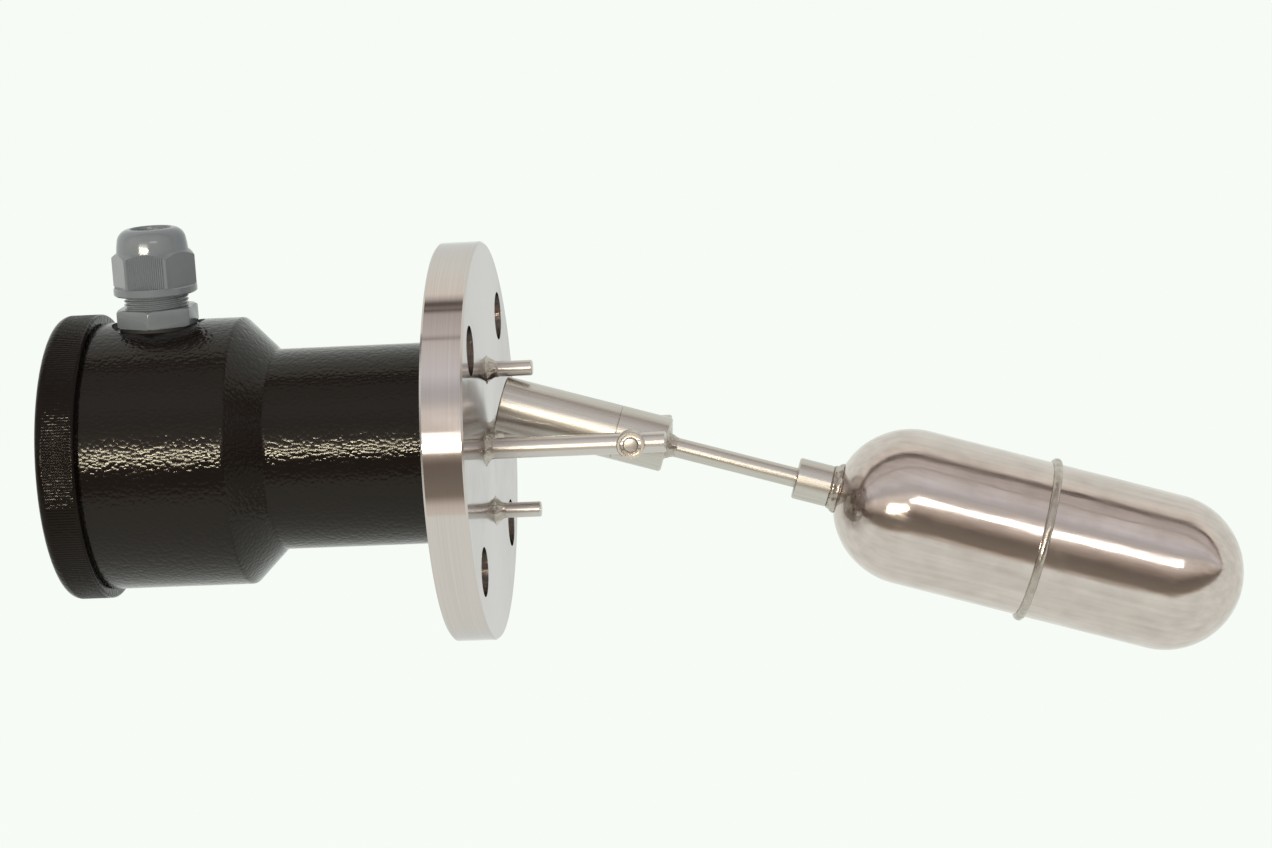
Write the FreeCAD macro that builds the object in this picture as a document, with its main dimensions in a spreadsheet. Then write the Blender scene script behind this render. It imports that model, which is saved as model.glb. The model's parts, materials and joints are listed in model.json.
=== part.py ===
# Side-mounted magnetic float level switch.
#
# Frame: millimetres, +Z up. The origin is the centre of the flange's wet face.
# +X points along the flange axis into the vessel, towards the float.
# The float hangs at its lower stop: the magnet tube's outer end is up.
import FreeCAD
import Part
import Sketcher
import math
import os

doc = FreeCAD.newDocument("FloatLevelSwitch")
Vector = FreeCAD.Vector
Rotation = FreeCAD.Rotation

# ---------------------------------------------------------------- driving dimensions
# alias, value (mm, degrees or a count), meaning
DIMENSIONS = [
    ("flange_od", 155, "mounting flange, outside diameter"),
    ("flange_thick", 16, "mounting flange, thickness"),
    ("bolt_circle", 120, "mounting holes, pitch circle"),
    ("bolt_hole", 19, "mounting holes, diameter"),
    ("bolt_count", 4, "mounting holes, number"),
    ("rim_chamfer", 0.8, "flange rim, chamfer"),
    ("pocket_bore", 42, "magnet pocket in the dry side, diameter"),
    ("diaphragm", 3, "wall left between the pocket and the vessel"),
    ("thread_gap", 0.05, "radial clearance of every thread and turning fit"),
    ("seat_gap", 0.1, "clearance of a piece dropped into its seat"),
    ("press_gap", 0.01, "radial clearance of a weld or a tight ring on its bar"),
    ("neck_od", 78.4, "housing neck, outside diameter"),
    ("neck_bore", 67, "housing neck, bore"),
    ("neck_reach", 66, "housing neck, length from the flange to the cone"),
    ("body_od", 104.6, "housing body, outside diameter"),
    ("body_bore", 92.6, "housing body, bore"),
    ("body_reach", 54.7, "housing body, length from the cone to the cap shoulder"),
    ("cone_fillet", 1.5, "housing, rounding of the cone's two edges"),
    ("floor_thick", 7, "housing floor that bolts to the flange, thickness"),
    ("floor_opening", 46, "housing floor, central opening"),
    ("cap_thread", 102, "cap thread, diameter"),
    ("cap_thread_reach", 10.2, "cap thread, length past the shoulder"),
    ("cap_lift", 1.2, "open gap between the cap's rim and the shoulder"),
    ("cap_od", 111.5, "cap, outside diameter"),
    ("cap_wall", 5.6, "cap, end wall"),
    ("cap_corner", 5, "cap, rounding of the outer corner"),
    ("cap_dome", 3.5, "cap, rise of the domed end"),
    ("cap_gasket_thick", 1, "flat gasket inside the cap, thickness"),
    ("oring_circle", 70.6, "neck seal, mean diameter"),
    ("oring_section", 2.4, "neck seal, section diameter"),
    ("fix_circle", 58, "housing fixing screws, pitch circle"),
    ("fix_thread", 5, "housing fixing screws, thread"),
    ("fix_head", 8.5, "housing fixing screws, head diameter"),
    ("fix_head_rise", 5, "housing fixing screws, head height"),
    ("fix_socket", 4, "housing fixing screws, hexagon key size"),
    ("fix_key_deep", 3, "housing fixing screws, depth of the key hole"),
    ("fix_bite", 9, "housing fixing screws, length held in the flange"),
    ("fix_tip", 1, "fixing taps, depth past the screw's end"),
    ("gland_back", 22.3, "gland axis, distance from the cap shoulder"),
    ("gland_sink", 2.1, "gland spot face, depth below the top of the body"),
    ("gland_spot", 36, "gland spot face, diameter"),
    ("gland_thread", 25, "gland thread, diameter"),
    ("gland_tail", 7.5, "gland thread below the spot face"),
    ("gland_washer", 1.2, "gland gasket, thickness"),
    ("gland_washer_od", 30, "gland gasket, diameter"),
    ("gland_flats", 28.5, "gland hexagons, across flats"),
    ("gland_hex_rise", 7.1, "gland lower hexagon, height"),
    ("gland_neck_rise", 5.3, "visible thread between hexagon and nut"),
    ("gland_tube_rise", 15.5, "gland upper thread, height above the hexagon"),
    ("gland_passage", 16, "gland body, cable passage"),
    ("gland_seal_od", 21, "gland seal insert, diameter"),
    ("gland_seal_bore", 15.2, "gland seal insert, bore"),
    ("gland_seal_rise", 16, "gland seal insert, length"),
    ("gland_claw_wall", 1.4, "gland clamping fingers, thickness"),
    ("gland_claw_past", 2, "gland clamping fingers, reach above the nut's shoulder"),
    ("gland_claw_tip", 0.3, "gland clamping fingers, thickness at the tip"),
    ("gland_claw_gap", 0.7, "gland clamping fingers, gap between two"),
    ("gland_claw_count", 12, "gland clamping fingers, number"),
    ("nut_rise", 16.2, "gland nut, height of its ribbed hexagon"),
    ("nut_collar_od", 32.4, "gland nut, bottom collar diameter"),
    ("nut_collar_rise", 3.2, "gland nut, bottom collar height"),
    ("nut_dome_od", 28.2, "gland nut, dome diameter"),
    ("nut_dome_rise", 9.3, "gland nut, dome height"),
    ("nut_bend_down", 7.4, "gland nut, start of the dome's bend below the top"),
    ("nut_knee_down", 3.3, "gland nut, middle of the dome's bend below the top"),
    ("nut_knee_od", 25.4, "gland nut, diameter at the middle of the bend"),
    ("nut_face_od", 19.2, "gland nut, diameter of its top face"),
    ("nut_mouth_deep", 2.3, "gland nut, depth of its mouth"),
    ("nut_mouth", 15.5, "gland nut, cable mouth diameter"),
    ("pivot_reach", 56, "pivot pin, distance from the flange face"),
    ("arm_tilt", 16.9, "float arm, angle below level at rest, degrees"),
    ("arm_drop", 0.9, "float arm, distance of its axis below the pin"),
    ("bar_dia", 8, "pivot bars, diameter"),
    ("bar_spread", 34, "pivot bars, centre distance"),
    ("bar_past_pin", 13.4, "pivot bars, length past the pin"),
    ("boss_od", 10.8, "pin bosses on the bars, diameter"),
    ("boss_proud", 1.2, "pin bosses, height above the bar"),
    ("pin_dia", 6, "pivot pin, diameter"),
    ("pin_gap", 0.08, "pivot pin, radial running clearance in the plug"),
    ("pin_short", 0.3, "pivot pin, end below the boss face"),
    ("pin_chamfer", 0.4, "pivot pin, end chamfer"),
    ("stop_dia", 6, "stop pins, diameter"),
    ("stop_reach", 17.8, "stop pins, length"),
    ("stop_gap", 0.2, "gap between the tube and the stop it rests at"),
    ("weld_leg", 3, "fillet welds on the flange, leg"),
    ("weld_toe", 0.5, "fillet welds on the flange, thickness at the toe"),
    ("tube_od", 21.3, "magnet tube, diameter"),
    ("tube_wall", 2, "magnet tube, wall"),
    ("tube_behind", 53.3, "magnet tube, outer end behind the pin"),
    ("tube_joint", 7, "tube and plug joint, behind the pin"),
    ("tube_cap_thick", 2, "magnet tube, end disc"),
    ("magnet_long", 25, "float magnet, length"),
    ("plug_spigot", 8, "end plug, spigot inside the tube"),
    ("plug_ahead", 13, "end plug, length ahead of the pin"),
    ("plug_hole", 5, "end plug, depth of the rod hole"),
    ("rod_dia", 7.6, "float rod, diameter"),
    ("socket_at", 64.6, "float socket, start ahead of the pin"),
    ("socket_od", 16, "float socket, diameter"),
    ("socket_long", 13.9, "float socket, length"),
    ("socket_hole", 10, "float socket, depth of the rod hole"),
    ("rod_weld_long", 5, "weld at the rod's root, length"),
    ("rod_weld_od", 11.5, "weld at the rod's root, diameter"),
    ("rod_weld_mid_od", 9.5, "weld at the rod's root, diameter a third along"),
    ("rod_weld_toe", 0.4, "weld at the rod's root, thickness at its toe"),
    ("float_gap", 1.7, "neck between socket and float"),
    ("float_od", 60.8, "float, diameter"),
    ("float_long", 161, "float, length"),
    ("float_wall", 1, "float, wall"),
    ("socket_weld_od", 19.5, "weld between socket and float, diameter"),
    ("seam_wide", 3.3, "seam bead, width"),
    ("seam_proud", 2.1, "seam bead, height"),
    ("chassis_thick", 1.5, "switch chassis, sheet thickness"),
    ("chassis_offset", 5.5, "switch chassis, side of the plate from the mid plane"),
    ("chassis_up", 12, "switch chassis, plate above the axis"),
    ("chassis_down", 29, "switch chassis, plate below the axis"),
    ("chassis_ring", 64, "switch chassis, foot ring diameter"),
    ("chassis_reach", 101, "switch chassis, terminal tab behind the flange"),
    ("tab_high", 38, "terminal tab, height"),
    ("tab_wide", 30, "terminal tab, width"),
    ("lever_behind", 26, "switch lever pivot, behind the flange"),
    ("lever_swing", 14.85, "switch lever, angle below level at rest, degrees"),
    ("lever_thick", 4, "switch lever, thickness"),
    ("lever_high", 3, "switch lever, height of the arm"),
    ("lever_hub", 10, "switch lever, hub diameter"),
    ("hub_ahead", 3, "switch lever hub, length on the near side of the mid plane"),
    ("lever_pin_dia", 4, "switch lever pin, diameter"),
    ("lever_pin_past", 1, "switch lever pin, length past its clip"),
    ("clip_thick", 0.75, "switch lever clip, thickness"),
    ("inner_magnet_dia", 16, "switch magnet, diameter"),
    ("inner_magnet_long", 10, "switch magnet, length"),
    ("inner_magnet_ahead", 25, "switch magnet, back face ahead of the lever pin"),
    ("holder_wall", 1.5, "magnet holder, wall"),
    ("holder_grip", 6, "magnet holder, length round the magnet"),
    ("pad_behind", 9, "switch lever, push pad behind the lever pin"),
    ("pad_dia", 4, "switch lever, push pad diameter"),
    ("pad_wide", 5, "switch lever, push pad width"),
    ("micro_long", 27.8, "snap switch, length"),
    ("micro_high", 15.9, "snap switch, height"),
    ("micro_wide", 10.3, "snap switch, width"),
    ("micro_hinge_behind", 58, "snap switch lever hinge, behind the flange"),
    ("micro_hinge_down", 7, "snap switch lever hinge, below the axis"),
    ("micro_past_hinge", 2, "snap switch, case behind its lever hinge"),
    ("micro_ear_rise", 0.4, "snap switch, case below the lever's eyes"),
    ("micro_ear_wide", 3, "snap switch hinge ear, width"),
    ("micro_screw_in", 2.8, "snap switch screws, distance from the case's ends"),
    ("micro_screw_up", 3, "snap switch screws, height above the case's foot"),
    ("plunger_ahead", 8, "plunger, distance ahead of the lever hinge"),
    ("plunger_dia", 2.4, "plunger, diameter"),
    ("plunger_sunk", 4, "plunger, length inside the case"),
    ("plunger_well", 6.4, "plunger well, depth"),
    ("plunger_slack", 0.5, "gap between the plunger and the snap switch lever"),
    ("contact_tabs", 3, "snap switch tabs, number"),
    ("contact_inset", 3.3, "snap switch tabs, first one from the case's end"),
    ("contact_pitch", 10.6, "snap switch tabs, pitch"),
    ("contact_thick", 0.8, "snap switch tabs, thickness"),
    ("contact_wide", 4.8, "snap switch tabs, width"),
    ("contact_drop", 6, "snap switch tabs, length"),
    ("blade_long", 25, "snap switch lever, length"),
    ("blade_thick", 0.6, "snap switch lever, thickness"),
    ("blade_wide", 4, "snap switch lever, width"),
    ("blade_eye", 2, "snap switch lever, eye diameter"),
    ("blade_eye_thick", 0.4, "snap switch lever, eye thickness"),
    ("blade_rise", 16, "snap switch lever, angle above level at rest, degrees"),
    ("block_long", 36, "terminal block, length"),
    ("block_wide", 20, "terminal block, width"),
    ("block_high", 15, "terminal block, height"),
    ("pole_pitch", 9, "terminal block, pitch of its poles"),
    ("pole_count", 3, "terminal block, poles"),
    ("pole_screw", 4, "terminal screws, diameter"),
    ("pole_thread", 2.8, "terminal screws, thread"),
    ("pole_head_rise", 2, "terminal screws, head height"),
    ("pole_grip", 3.2, "terminal screws, length below the head"),
    ("pole_well", 7.5, "terminal screw wells, depth"),
    ("pole_spread", 10.8, "terminal block, distance between the screws of a pole"),
    ("wire_way_deep", 10.8, "wire ways, depth below the block's top"),
    ("wire_way_long", 6, "wire ways, length"),
    ("block_edge", 0.8, "terminal block, wall outside its fixing screws"),
    ("small_screw", 3, "small screws, thread"),
    ("small_head", 5.6, "small screws, head diameter"),
    ("small_head_rise", 2, "small screws, head height"),
    ("earth_screw", 4, "earth screw, thread"),
    ("earth_head", 8, "earth screw, head diameter"),
    ("earth_ahead", 15, "earth screw, distance from the terminal tab"),
]

sheet = doc.addObject("Spreadsheet::Sheet", "Sizes")
for row, (alias, value, meaning) in enumerate(DIMENSIONS, start=1):
    sheet.set("A%d" % row, meaning)
    sheet.set("B%d" % row, str(value))
    sheet.setAlias("B%d" % row, alias)
doc.recompute()


# ---------------------------------------------------------------- measures
class Measure:
    """A value known both as a number and as an expression on the sheet."""

    def __init__(self, number, text):
        self.number = number
        self.text = text

    def joined(self, other, sign, number):
        return Measure(number, "(%s %s %s)" % (self.text, sign, measure(other).text))

    def __add__(self, other):
        return self.joined(other, "+", self.number + measure(other).number)

    def __sub__(self, other):
        return self.joined(other, "-", self.number - measure(other).number)

    def __mul__(self, other):
        return self.joined(other, "*", self.number * measure(other).number)

    def __truediv__(self, other):
        return self.joined(other, "/", self.number / measure(other).number)

    def __neg__(self):
        return Measure(-self.number, "(-1 * %s)" % self.text)


def measure(value):
    if isinstance(value, Measure):
        return value
    return Measure(float(value), "(%.6f)" % value)


def of_angle(kind, angle):
    """Sine or cosine of an angle in degrees, as a measure."""
    turn = math.radians(angle.number)
    number = {"sin": math.sin, "cos": math.cos, "tan": math.tan}[kind](turn)
    return Measure(number, "%s(%s * 1 deg)" % (kind, angle.text))


class SheetSizes:
    """One measure for each row of the sheet."""


D = SheetSizes()
for alias, value, meaning in DIMENSIONS:
    setattr(D, alias, Measure(float(getattr(sheet, alias)), "Sizes." + alias))

# stations along the flange axis, and the places that several pieces share
flange_rear = -D.flange_thick
floor_top = flange_rear - D.floor_thick
cone_start = flange_rear - D.neck_reach
cone_reach = (D.body_od - D.neck_od) / 2
cone_end = cone_start - cone_reach
shoulder = cone_end - D.body_reach
thread_end = shoulder - D.cap_thread_reach
cap_rim = shoulder - D.cap_lift
gasket_face = thread_end - D.cap_gasket_thick
cap_end = gasket_face - D.cap_wall
gland_x = shoulder + D.gland_back
gland_seat = D.body_od / 2 - D.gland_sink
hex_base = gland_seat + D.gland_washer
hex_top = hex_base + D.gland_hex_rise
nut_base = hex_top + D.gland_neck_rise
nut_shoulder = nut_base + D.nut_rise
gland_top = nut_shoulder + D.nut_dome_rise
tube_top = hex_top + D.gland_tube_rise
claw_top = nut_shoulder + D.gland_claw_past
seal_base = claw_top - D.gland_seal_rise
tube_radius = D.tube_od / 2
arm_sin = of_angle("sin", D.arm_tilt)
arm_cos = of_angle("cos", D.arm_tilt)
arm_above = tube_radius - D.arm_drop
stop_level = D.tube_behind * arm_sin + arm_above * arm_cos + D.stop_gap + D.stop_dia / 2
boss_face = D.bar_spread / 2 + D.bar_dia / 2 + D.boss_proud
socket_end = D.socket_at + D.socket_long
float_start = socket_end + D.float_gap
float_middle = float_start + D.float_long / 2
float_end = float_start + D.float_long
lever_x = flange_rear - D.lever_behind
chassis_face = floor_top - D.chassis_thick
tab_face = flange_rear - D.chassis_reach
plate_far = D.chassis_offset + D.chassis_thick
micro_hinge_x = flange_rear - D.micro_hinge_behind
micro_hinge_z = -D.micro_hinge_down
lever_pin_long = D.chassis_offset + D.hub_ahead + D.clip_thick * 2 + D.lever_pin_past
micro_top = micro_hinge_z - D.blade_eye / 2 - D.micro_ear_rise
micro_left = micro_hinge_x - D.micro_past_hinge
micro_y = D.chassis_offset - D.micro_wide / 2
micro_screw_z = micro_top - D.micro_high + D.micro_screw_up
micro_screw_x = [micro_left + D.micro_screw_in, micro_left + D.micro_long - D.micro_screw_in]
plunger_x = micro_hinge_x + D.plunger_ahead
earth_x = tab_face + D.earth_ahead
block_top = tab_face - D.block_high
block_y = plate_far - D.tab_wide / 2
block_screw_z = D.block_long / 2 - D.small_head / 2 - D.block_edge

# turns, and the margin by which a cutting tool or a joined root passes a face
ALONG_X = Rotation(Vector(0, 1, 0), 90)
ALONG_Y = Rotation(Vector(1, 0, 0), -90)
UPRIGHT = Rotation()
SIDES = (-1, 1)
HEX_SIDES = 6
HALF_SIDE = measure(180 / HEX_SIDES)
CORNER_COUNT = measure(4)
CORNER_TURN = measure(45)
MARGIN = measure(1)
parts = []


# ---------------------------------------------------------------- building helpers
def bind(thing, name, value):
    thing.setExpression(name, measure(value).text)


def place(thing, x=0.0, y=0.0, z=0.0, turn=UPRIGHT):
    """Put an object at x, y, z, each bound to the sheet where it is a measure."""
    spot = [measure(x), measure(y), measure(z)]
    thing.Placement = FreeCAD.Placement(Vector(*[part.number for part in spot]), turn)
    for letter, value in zip("xyz", spot):
        if "Sizes" in value.text:
            thing.setExpression(".Placement.Base." + letter, value.text)
    return thing


def keep(thing, label):
    """Count an object as a sub-part, with the label that names its node."""
    thing.Label = label
    parts.append(thing)
    return thing


def plane(body, role):
    return [item for item in body.Origin.OriginFeatures if item.Role == role][0]


def new_sketch(body, name, role, level=None):
    sketch = body.newObject("Sketcher::SketchObject", name)
    sketch.AttachmentSupport = [(plane(body, role), "")]
    sketch.MapMode = "FlatFace"
    if level is not None:
        sketch.AttachmentOffset = FreeCAD.Placement(Vector(0, 0, level.number), Rotation())
        sketch.setExpression("AttachmentOffset.Base.z", level.text)
    return sketch


def pin_point(sketch, index, end, x, y, tag):
    """Tie one sketch point to the origin by bound distances."""
    for kind, axis, value, letter in (("DistanceX", -2, x, "x"), ("DistanceY", -1, y, "y")):
        value = measure(value)
        if abs(value.number) < 1e-9:
            sketch.addConstraint(Sketcher.Constraint("PointOnObject", index, end, axis))
            continue
        made = sketch.addConstraint(Sketcher.Constraint(kind, -1, 1, index, end, value.number))
        sketch.renameConstraint(made, letter + tag)
        sketch.setExpression("Constraints." + letter + tag, value.text)


def arc_between(start, end, radius, side):
    """Arc from start to end that bulges to the left (side 1) or right (side -1)."""
    chord = end - start
    middle = (start + end) * 0.5
    across = Vector(-chord.y, chord.x, 0).normalize() * side
    depth = radius - math.sqrt(max(radius ** 2 - (chord.Length / 2) ** 2, 0.0))
    return Part.Arc(start, middle + across * depth, end)


def outline(sketch, points):
    """Closed outline. A point is (x, y), or (x, y, radius, side) where an arc leaves it."""
    spots = [Vector(measure(p[0]).number, measure(p[1]).number, 0) for p in points]
    ends = []
    for number, point in enumerate(points):
        start = spots[number]
        stop = spots[(number + 1) % len(spots)]
        if len(point) == 4:
            arc = arc_between(start, stop, point[2].number, point[3])
            index = sketch.addGeometry(arc, False)
            made = sketch.addConstraint(Sketcher.Constraint("Radius", index, point[2].number))
            sketch.renameConstraint(made, "r%d" % number)
            sketch.setExpression("Constraints.r%d" % number, point[2].text)
            first = sketch.getPoint(index, 1)
            flipped = first.distanceToPoint(start) > first.distanceToPoint(stop)
            ends.append((index, 2, 1) if flipped else (index, 1, 2))
        else:
            index = sketch.addGeometry(Part.LineSegment(start, stop), False)
            ends.append((index, 1, 2))
    for number, point in enumerate(points):
        index, first, _ = ends[number]
        before, _, last = ends[number - 1]
        sketch.addConstraint(Sketcher.Constraint("Coincident", before, last, index, first))
        pin_point(sketch, index, first, point[0], point[1], str(number))


def ring_hole(sketch, x, y, diameter, tag="0"):
    """Circle at x, y in a sketch, bound to the sheet."""
    x, y, diameter = measure(x), measure(y), measure(diameter)
    circle = Part.Circle(Vector(x.number, y.number, 0), Vector(0, 0, 1), diameter.number / 2)
    index = sketch.addGeometry(circle, False)
    made = sketch.addConstraint(Sketcher.Constraint("Diameter", index, diameter.number))
    sketch.renameConstraint(made, "d" + tag)
    sketch.setExpression("Constraints.d" + tag, diameter.text)
    pin_point(sketch, index, 3, x, y, tag)


def revolve(body, name, points, axis="H_Axis", cut=False):
    sketch = new_sketch(body, name + "Outline", "XZ_Plane")
    outline(sketch, points)
    kind = "PartDesign::Groove" if cut else "PartDesign::Revolution"
    feature = body.newObject(kind, name)
    feature.Profile = sketch
    feature.ReferenceAxis = (sketch, [axis])
    feature.Angle = 360
    doc.recompute()
    return feature


def turned(label, points, axis="H_Axis"):
    """A body turned from one outline: x, radius along the flange axis, or radius, z."""
    body = doc.addObject("PartDesign::Body", label.title().replace("_", ""))
    revolve(body, body.Name + "Turned", points, axis)
    return keep(body, label)


def pocket(body, name, sketch, depth, reverse):
    feature = body.newObject("PartDesign::Pocket", name)
    feature.Profile = sketch
    bind(feature, "Length", depth)
    feature.Reversed = reverse
    doc.recompute()
    return feature


def polar(body, name, feature, axis_sketch, axis, count):
    pattern = body.newObject("PartDesign::PolarPattern", name)
    pattern.Originals = [feature]
    pattern.Axis = (axis_sketch, [axis])
    pattern.Angle = 360
    bind(pattern, "Occurrences", count)
    body.Tip = pattern
    doc.recompute()
    return pattern


def rim_edges(feature, x, radius):
    """Names of the round edges at a station along X with a given radius."""
    found = []
    for number, edge in enumerate(feature.Shape.Edges, start=1):
        if edge.Degenerated or not isinstance(edge.Curve, Part.Circle):
            continue
        curve = edge.Curve
        if abs(curve.Center.x - x.number) < 1e-4 and abs(curve.Radius - radius.number) < 1e-4:
            found.append("Edge%d" % number)
    return found


def fillet(body, name, feature, edges, radius):
    rounded = body.newObject("PartDesign::Fillet", name)
    rounded.Base = (feature, edges)
    bind(rounded, "Radius", radius)
    doc.recompute()
    return rounded


def cylinder(name, diameter, height):
    made = doc.addObject("Part::Cylinder", name)
    bind(made, "Radius", diameter / 2)
    bind(made, "Height", height)
    return made


def box(name, long, wide, high):
    made = doc.addObject("Part::Box", name)
    bind(made, "Length", long)
    bind(made, "Width", wide)
    bind(made, "Height", high)
    return made


def hexagon(name, flats, height):
    made = doc.addObject("Part::Prism", name)
    made.Polygon = HEX_SIDES
    bind(made, "Circumradius", flats / of_angle("cos", HALF_SIDE) / 2)
    bind(made, "Height", height)
    return made


def cut(name, base, *tools):
    tool = tools[0] if len(tools) == 1 else fuse(name + "Tools", *tools)
    made = doc.addObject("Part::Cut", name)
    made.Base = base
    made.Tool = tool
    return made


def fuse(name, *shapes):
    made = doc.addObject("Part::MultiFuse", name)
    made.Shapes = list(shapes)
    return made


def group(label, members):
    """Several like pieces that share a node, each its own solid."""
    made = doc.addObject("Part::Compound", label.title().replace("_", ""))
    made.Links = members
    return keep(made, label)


# ---------------------------------------------------------------- flange and housing
def at_corner(circle):
    """Coordinate of a hole at 45 degrees on a pitch circle."""
    return circle / 2 * of_angle("sin", CORNER_TURN)


def build_flange():
    rim = D.flange_od / 2
    edge = D.rim_chamfer
    pocket_radius = D.pocket_bore / 2
    body = turned("flange", [
        (0, 0),
        (-D.diaphragm, 0),
        (-D.diaphragm, pocket_radius),
        (flange_rear, pocket_radius),
        (flange_rear, rim - edge),
        (flange_rear + edge, rim),
        (-edge, rim),
        (0, rim - edge),
    ])
    bolts = new_sketch(body, "BoltHoleSketch", "YZ_Plane")
    spot = at_corner(D.bolt_circle)
    ring_hole(bolts, spot, spot, D.bolt_hole)
    hole = pocket(body, "BoltHole", bolts, D.flange_thick, False)
    polar(body, "BoltHoles", hole, bolts, "N_Axis", D.bolt_count)
    taps = new_sketch(body, "FixingTapSketch", "YZ_Plane", flange_rear)
    spot = at_corner(D.fix_circle)
    ring_hole(taps, spot, spot, D.fix_thread + D.thread_gap * 2)
    tap = pocket(body, "FixingTap", taps, D.fix_bite + D.fix_tip, True)
    polar(body, "FixingTaps", tap, taps, "N_Axis", CORNER_COUNT)
    return body


def build_housing():
    thread = D.cap_thread / 2
    inner_cone_start = cone_start - D.cone_fillet
    inner_cone_reach = (D.body_bore - D.neck_bore) / 2
    body = turned("housing", [
        (flange_rear, D.floor_opening / 2),
        (floor_top, D.floor_opening / 2),
        (floor_top, D.neck_bore / 2),
        (inner_cone_start, D.neck_bore / 2),
        (inner_cone_start - inner_cone_reach, D.body_bore / 2),
        (thread_end, D.body_bore / 2),
        (thread_end, thread),
        (shoulder, thread),
        (shoulder, D.body_od / 2),
        (cone_end, D.body_od / 2),
        (cone_start, D.neck_od / 2),
        (flange_rear, D.neck_od / 2),
    ])
    base = body.Tip
    edges = rim_edges(base, cone_end, D.body_od / 2) + rim_edges(base, cone_start, D.neck_od / 2)
    fillet(body, "ConeRounding", base, edges, D.cone_fillet)
    half = D.oring_section / 2 + D.seat_gap
    revolve(body, "NeckSealGroove", [
        (flange_rear, D.oring_circle / 2 - half),
        (flange_rear - D.oring_section, D.oring_circle / 2 - half),
        (flange_rear - D.oring_section, D.oring_circle / 2 + half),
        (flange_rear, D.oring_circle / 2 + half),
    ], cut=True)
    spot = new_sketch(body, "GlandSpotSketch", "XY_Plane", gland_seat)
    ring_hole(spot, gland_x, 0, D.gland_spot)
    pocket(body, "GlandSpot", spot, D.body_od / 2, True)
    entry = new_sketch(body, "GlandHoleSketch", "XY_Plane", gland_seat)
    ring_hole(entry, gland_x, 0, D.gland_thread + D.thread_gap * 2)
    pocket(body, "GlandHole", entry, gland_seat / 2, False)
    screws = new_sketch(body, "FixingHoleSketch", "YZ_Plane", flange_rear)
    place_on = at_corner(D.fix_circle)
    ring_hole(screws, place_on, place_on, D.fix_thread + D.seat_gap * 4)
    hole = pocket(body, "FixingHole", screws, D.floor_thick, False)
    polar(body, "FixingHoles", hole, screws, "N_Axis", CORNER_COUNT)
    return body


def build_neck_seal():
    ring = doc.addObject("Part::Torus", "NeckSeal")
    bind(ring, "Radius1", D.oring_circle / 2)
    bind(ring, "Radius2", D.oring_section / 2 - D.press_gap * 2)
    place(ring, x=flange_rear - D.oring_section / 2, turn=ALONG_X)
    return keep(ring, "neck_seal")


def build_fixing_screws():
    spot = at_corner(D.fix_circle)
    screws = []
    for number, (side, level) in enumerate((a, b) for a in SIDES for b in SIDES):
        name = "FixingScrew%d" % number
        head = cylinder(name + "Head", D.fix_head, D.fix_head_rise)
        place(head, x=chassis_face - D.fix_head_rise, y=spot * side, z=spot * level, turn=ALONG_X)
        shank = cylinder(name + "Shank", D.fix_thread, D.chassis_thick + D.floor_thick + D.fix_bite)
        place(shank, x=chassis_face, y=spot * side, z=spot * level, turn=ALONG_X)
        key = hexagon(name + "Key", D.fix_socket, D.fix_key_deep)
        place(key, x=chassis_face - D.fix_head_rise, y=spot * side, z=spot * level, turn=ALONG_X)
        screws.append(cut(name, fuse(name + "Blank", head, shank), key))
    return group("housing_screws", screws)


def build_cap():
    radius = D.cap_od / 2
    bore = D.cap_thread / 2 + D.thread_gap
    dome_radius = (radius * radius + D.cap_dome * D.cap_dome) / (D.cap_dome * 2)
    body = turned("cap", [
        (cap_rim, bore),
        (cap_rim, radius),
        (cap_end, radius, dome_radius, -1),
        (cap_end - D.cap_dome, 0),
        (gasket_face, 0),
        (gasket_face, bore),
    ])
    fillet(body, "CapCorner", body.Tip, rim_edges(body.Tip, cap_end, radius), D.cap_corner)
    return body


def build_cap_gasket():
    skin = D.seat_gap / 2
    return turned("cap_gasket", [
        (thread_end - skin, D.body_bore / 2),
        (gasket_face + skin, D.body_bore / 2),
        (gasket_face + skin, D.cap_thread / 2 - D.seat_gap),
        (thread_end - skin, D.cap_thread / 2 - D.seat_gap),
    ])


# ---------------------------------------------------------------- cable gland
def build_gland_body():
    outer = D.gland_thread / 2
    seat = D.gland_seal_od / 2 + D.seat_gap
    body = turned("gland_body", [
        (D.gland_passage / 2, gland_seat - D.gland_tail),
        (outer, gland_seat - D.gland_tail),
        (outer, tube_top),
        (seat, tube_top),
        (seat, seal_base),
        (D.gland_passage / 2, seal_base),
    ], "V_Axis")
    flats = new_sketch(body, "GlandHexSketch", "XY_Plane", hex_base)
    hex_outline(flats, D.gland_flats, HALF_SIDE)
    ring_hole(flats, 0, 0, D.gland_passage, "hole")
    pad = body.newObject("PartDesign::Pad", "GlandHex")
    pad.Profile = flats
    bind(pad, "Length", D.gland_hex_rise)
    doc.recompute()
    place(body, x=gland_x)
    return body


def hex_outline(sketch, flats, first_turn):
    """Hexagon whose first corner is turned from the sketch's X axis."""
    corner = flats / of_angle("cos", HALF_SIDE) / 2
    points = []
    for step in range(HEX_SIDES):
        turn = first_turn + HALF_SIDE * (2 * step)
        points.append((corner * of_angle("cos", turn), corner * of_angle("sin", turn)))
    outline(sketch, points)


def build_gland_washer():
    body = turned("gland_washer", [
        (D.gland_thread / 2 + D.seat_gap, gland_seat),
        (D.gland_washer_od / 2, gland_seat),
        (D.gland_washer_od / 2, hex_base),
        (D.gland_thread / 2 + D.seat_gap, hex_base),
    ], "V_Axis")
    return place(body, x=gland_x)


def build_gland_seal():
    body = turned("gland_seal", [
        (D.gland_seal_bore / 2, seal_base),
        (D.gland_seal_od / 2, seal_base),
        (D.gland_seal_od / 2, claw_top),
        (D.gland_seal_bore / 2, claw_top),
    ], "V_Axis")
    return place(body, x=gland_x)


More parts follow.
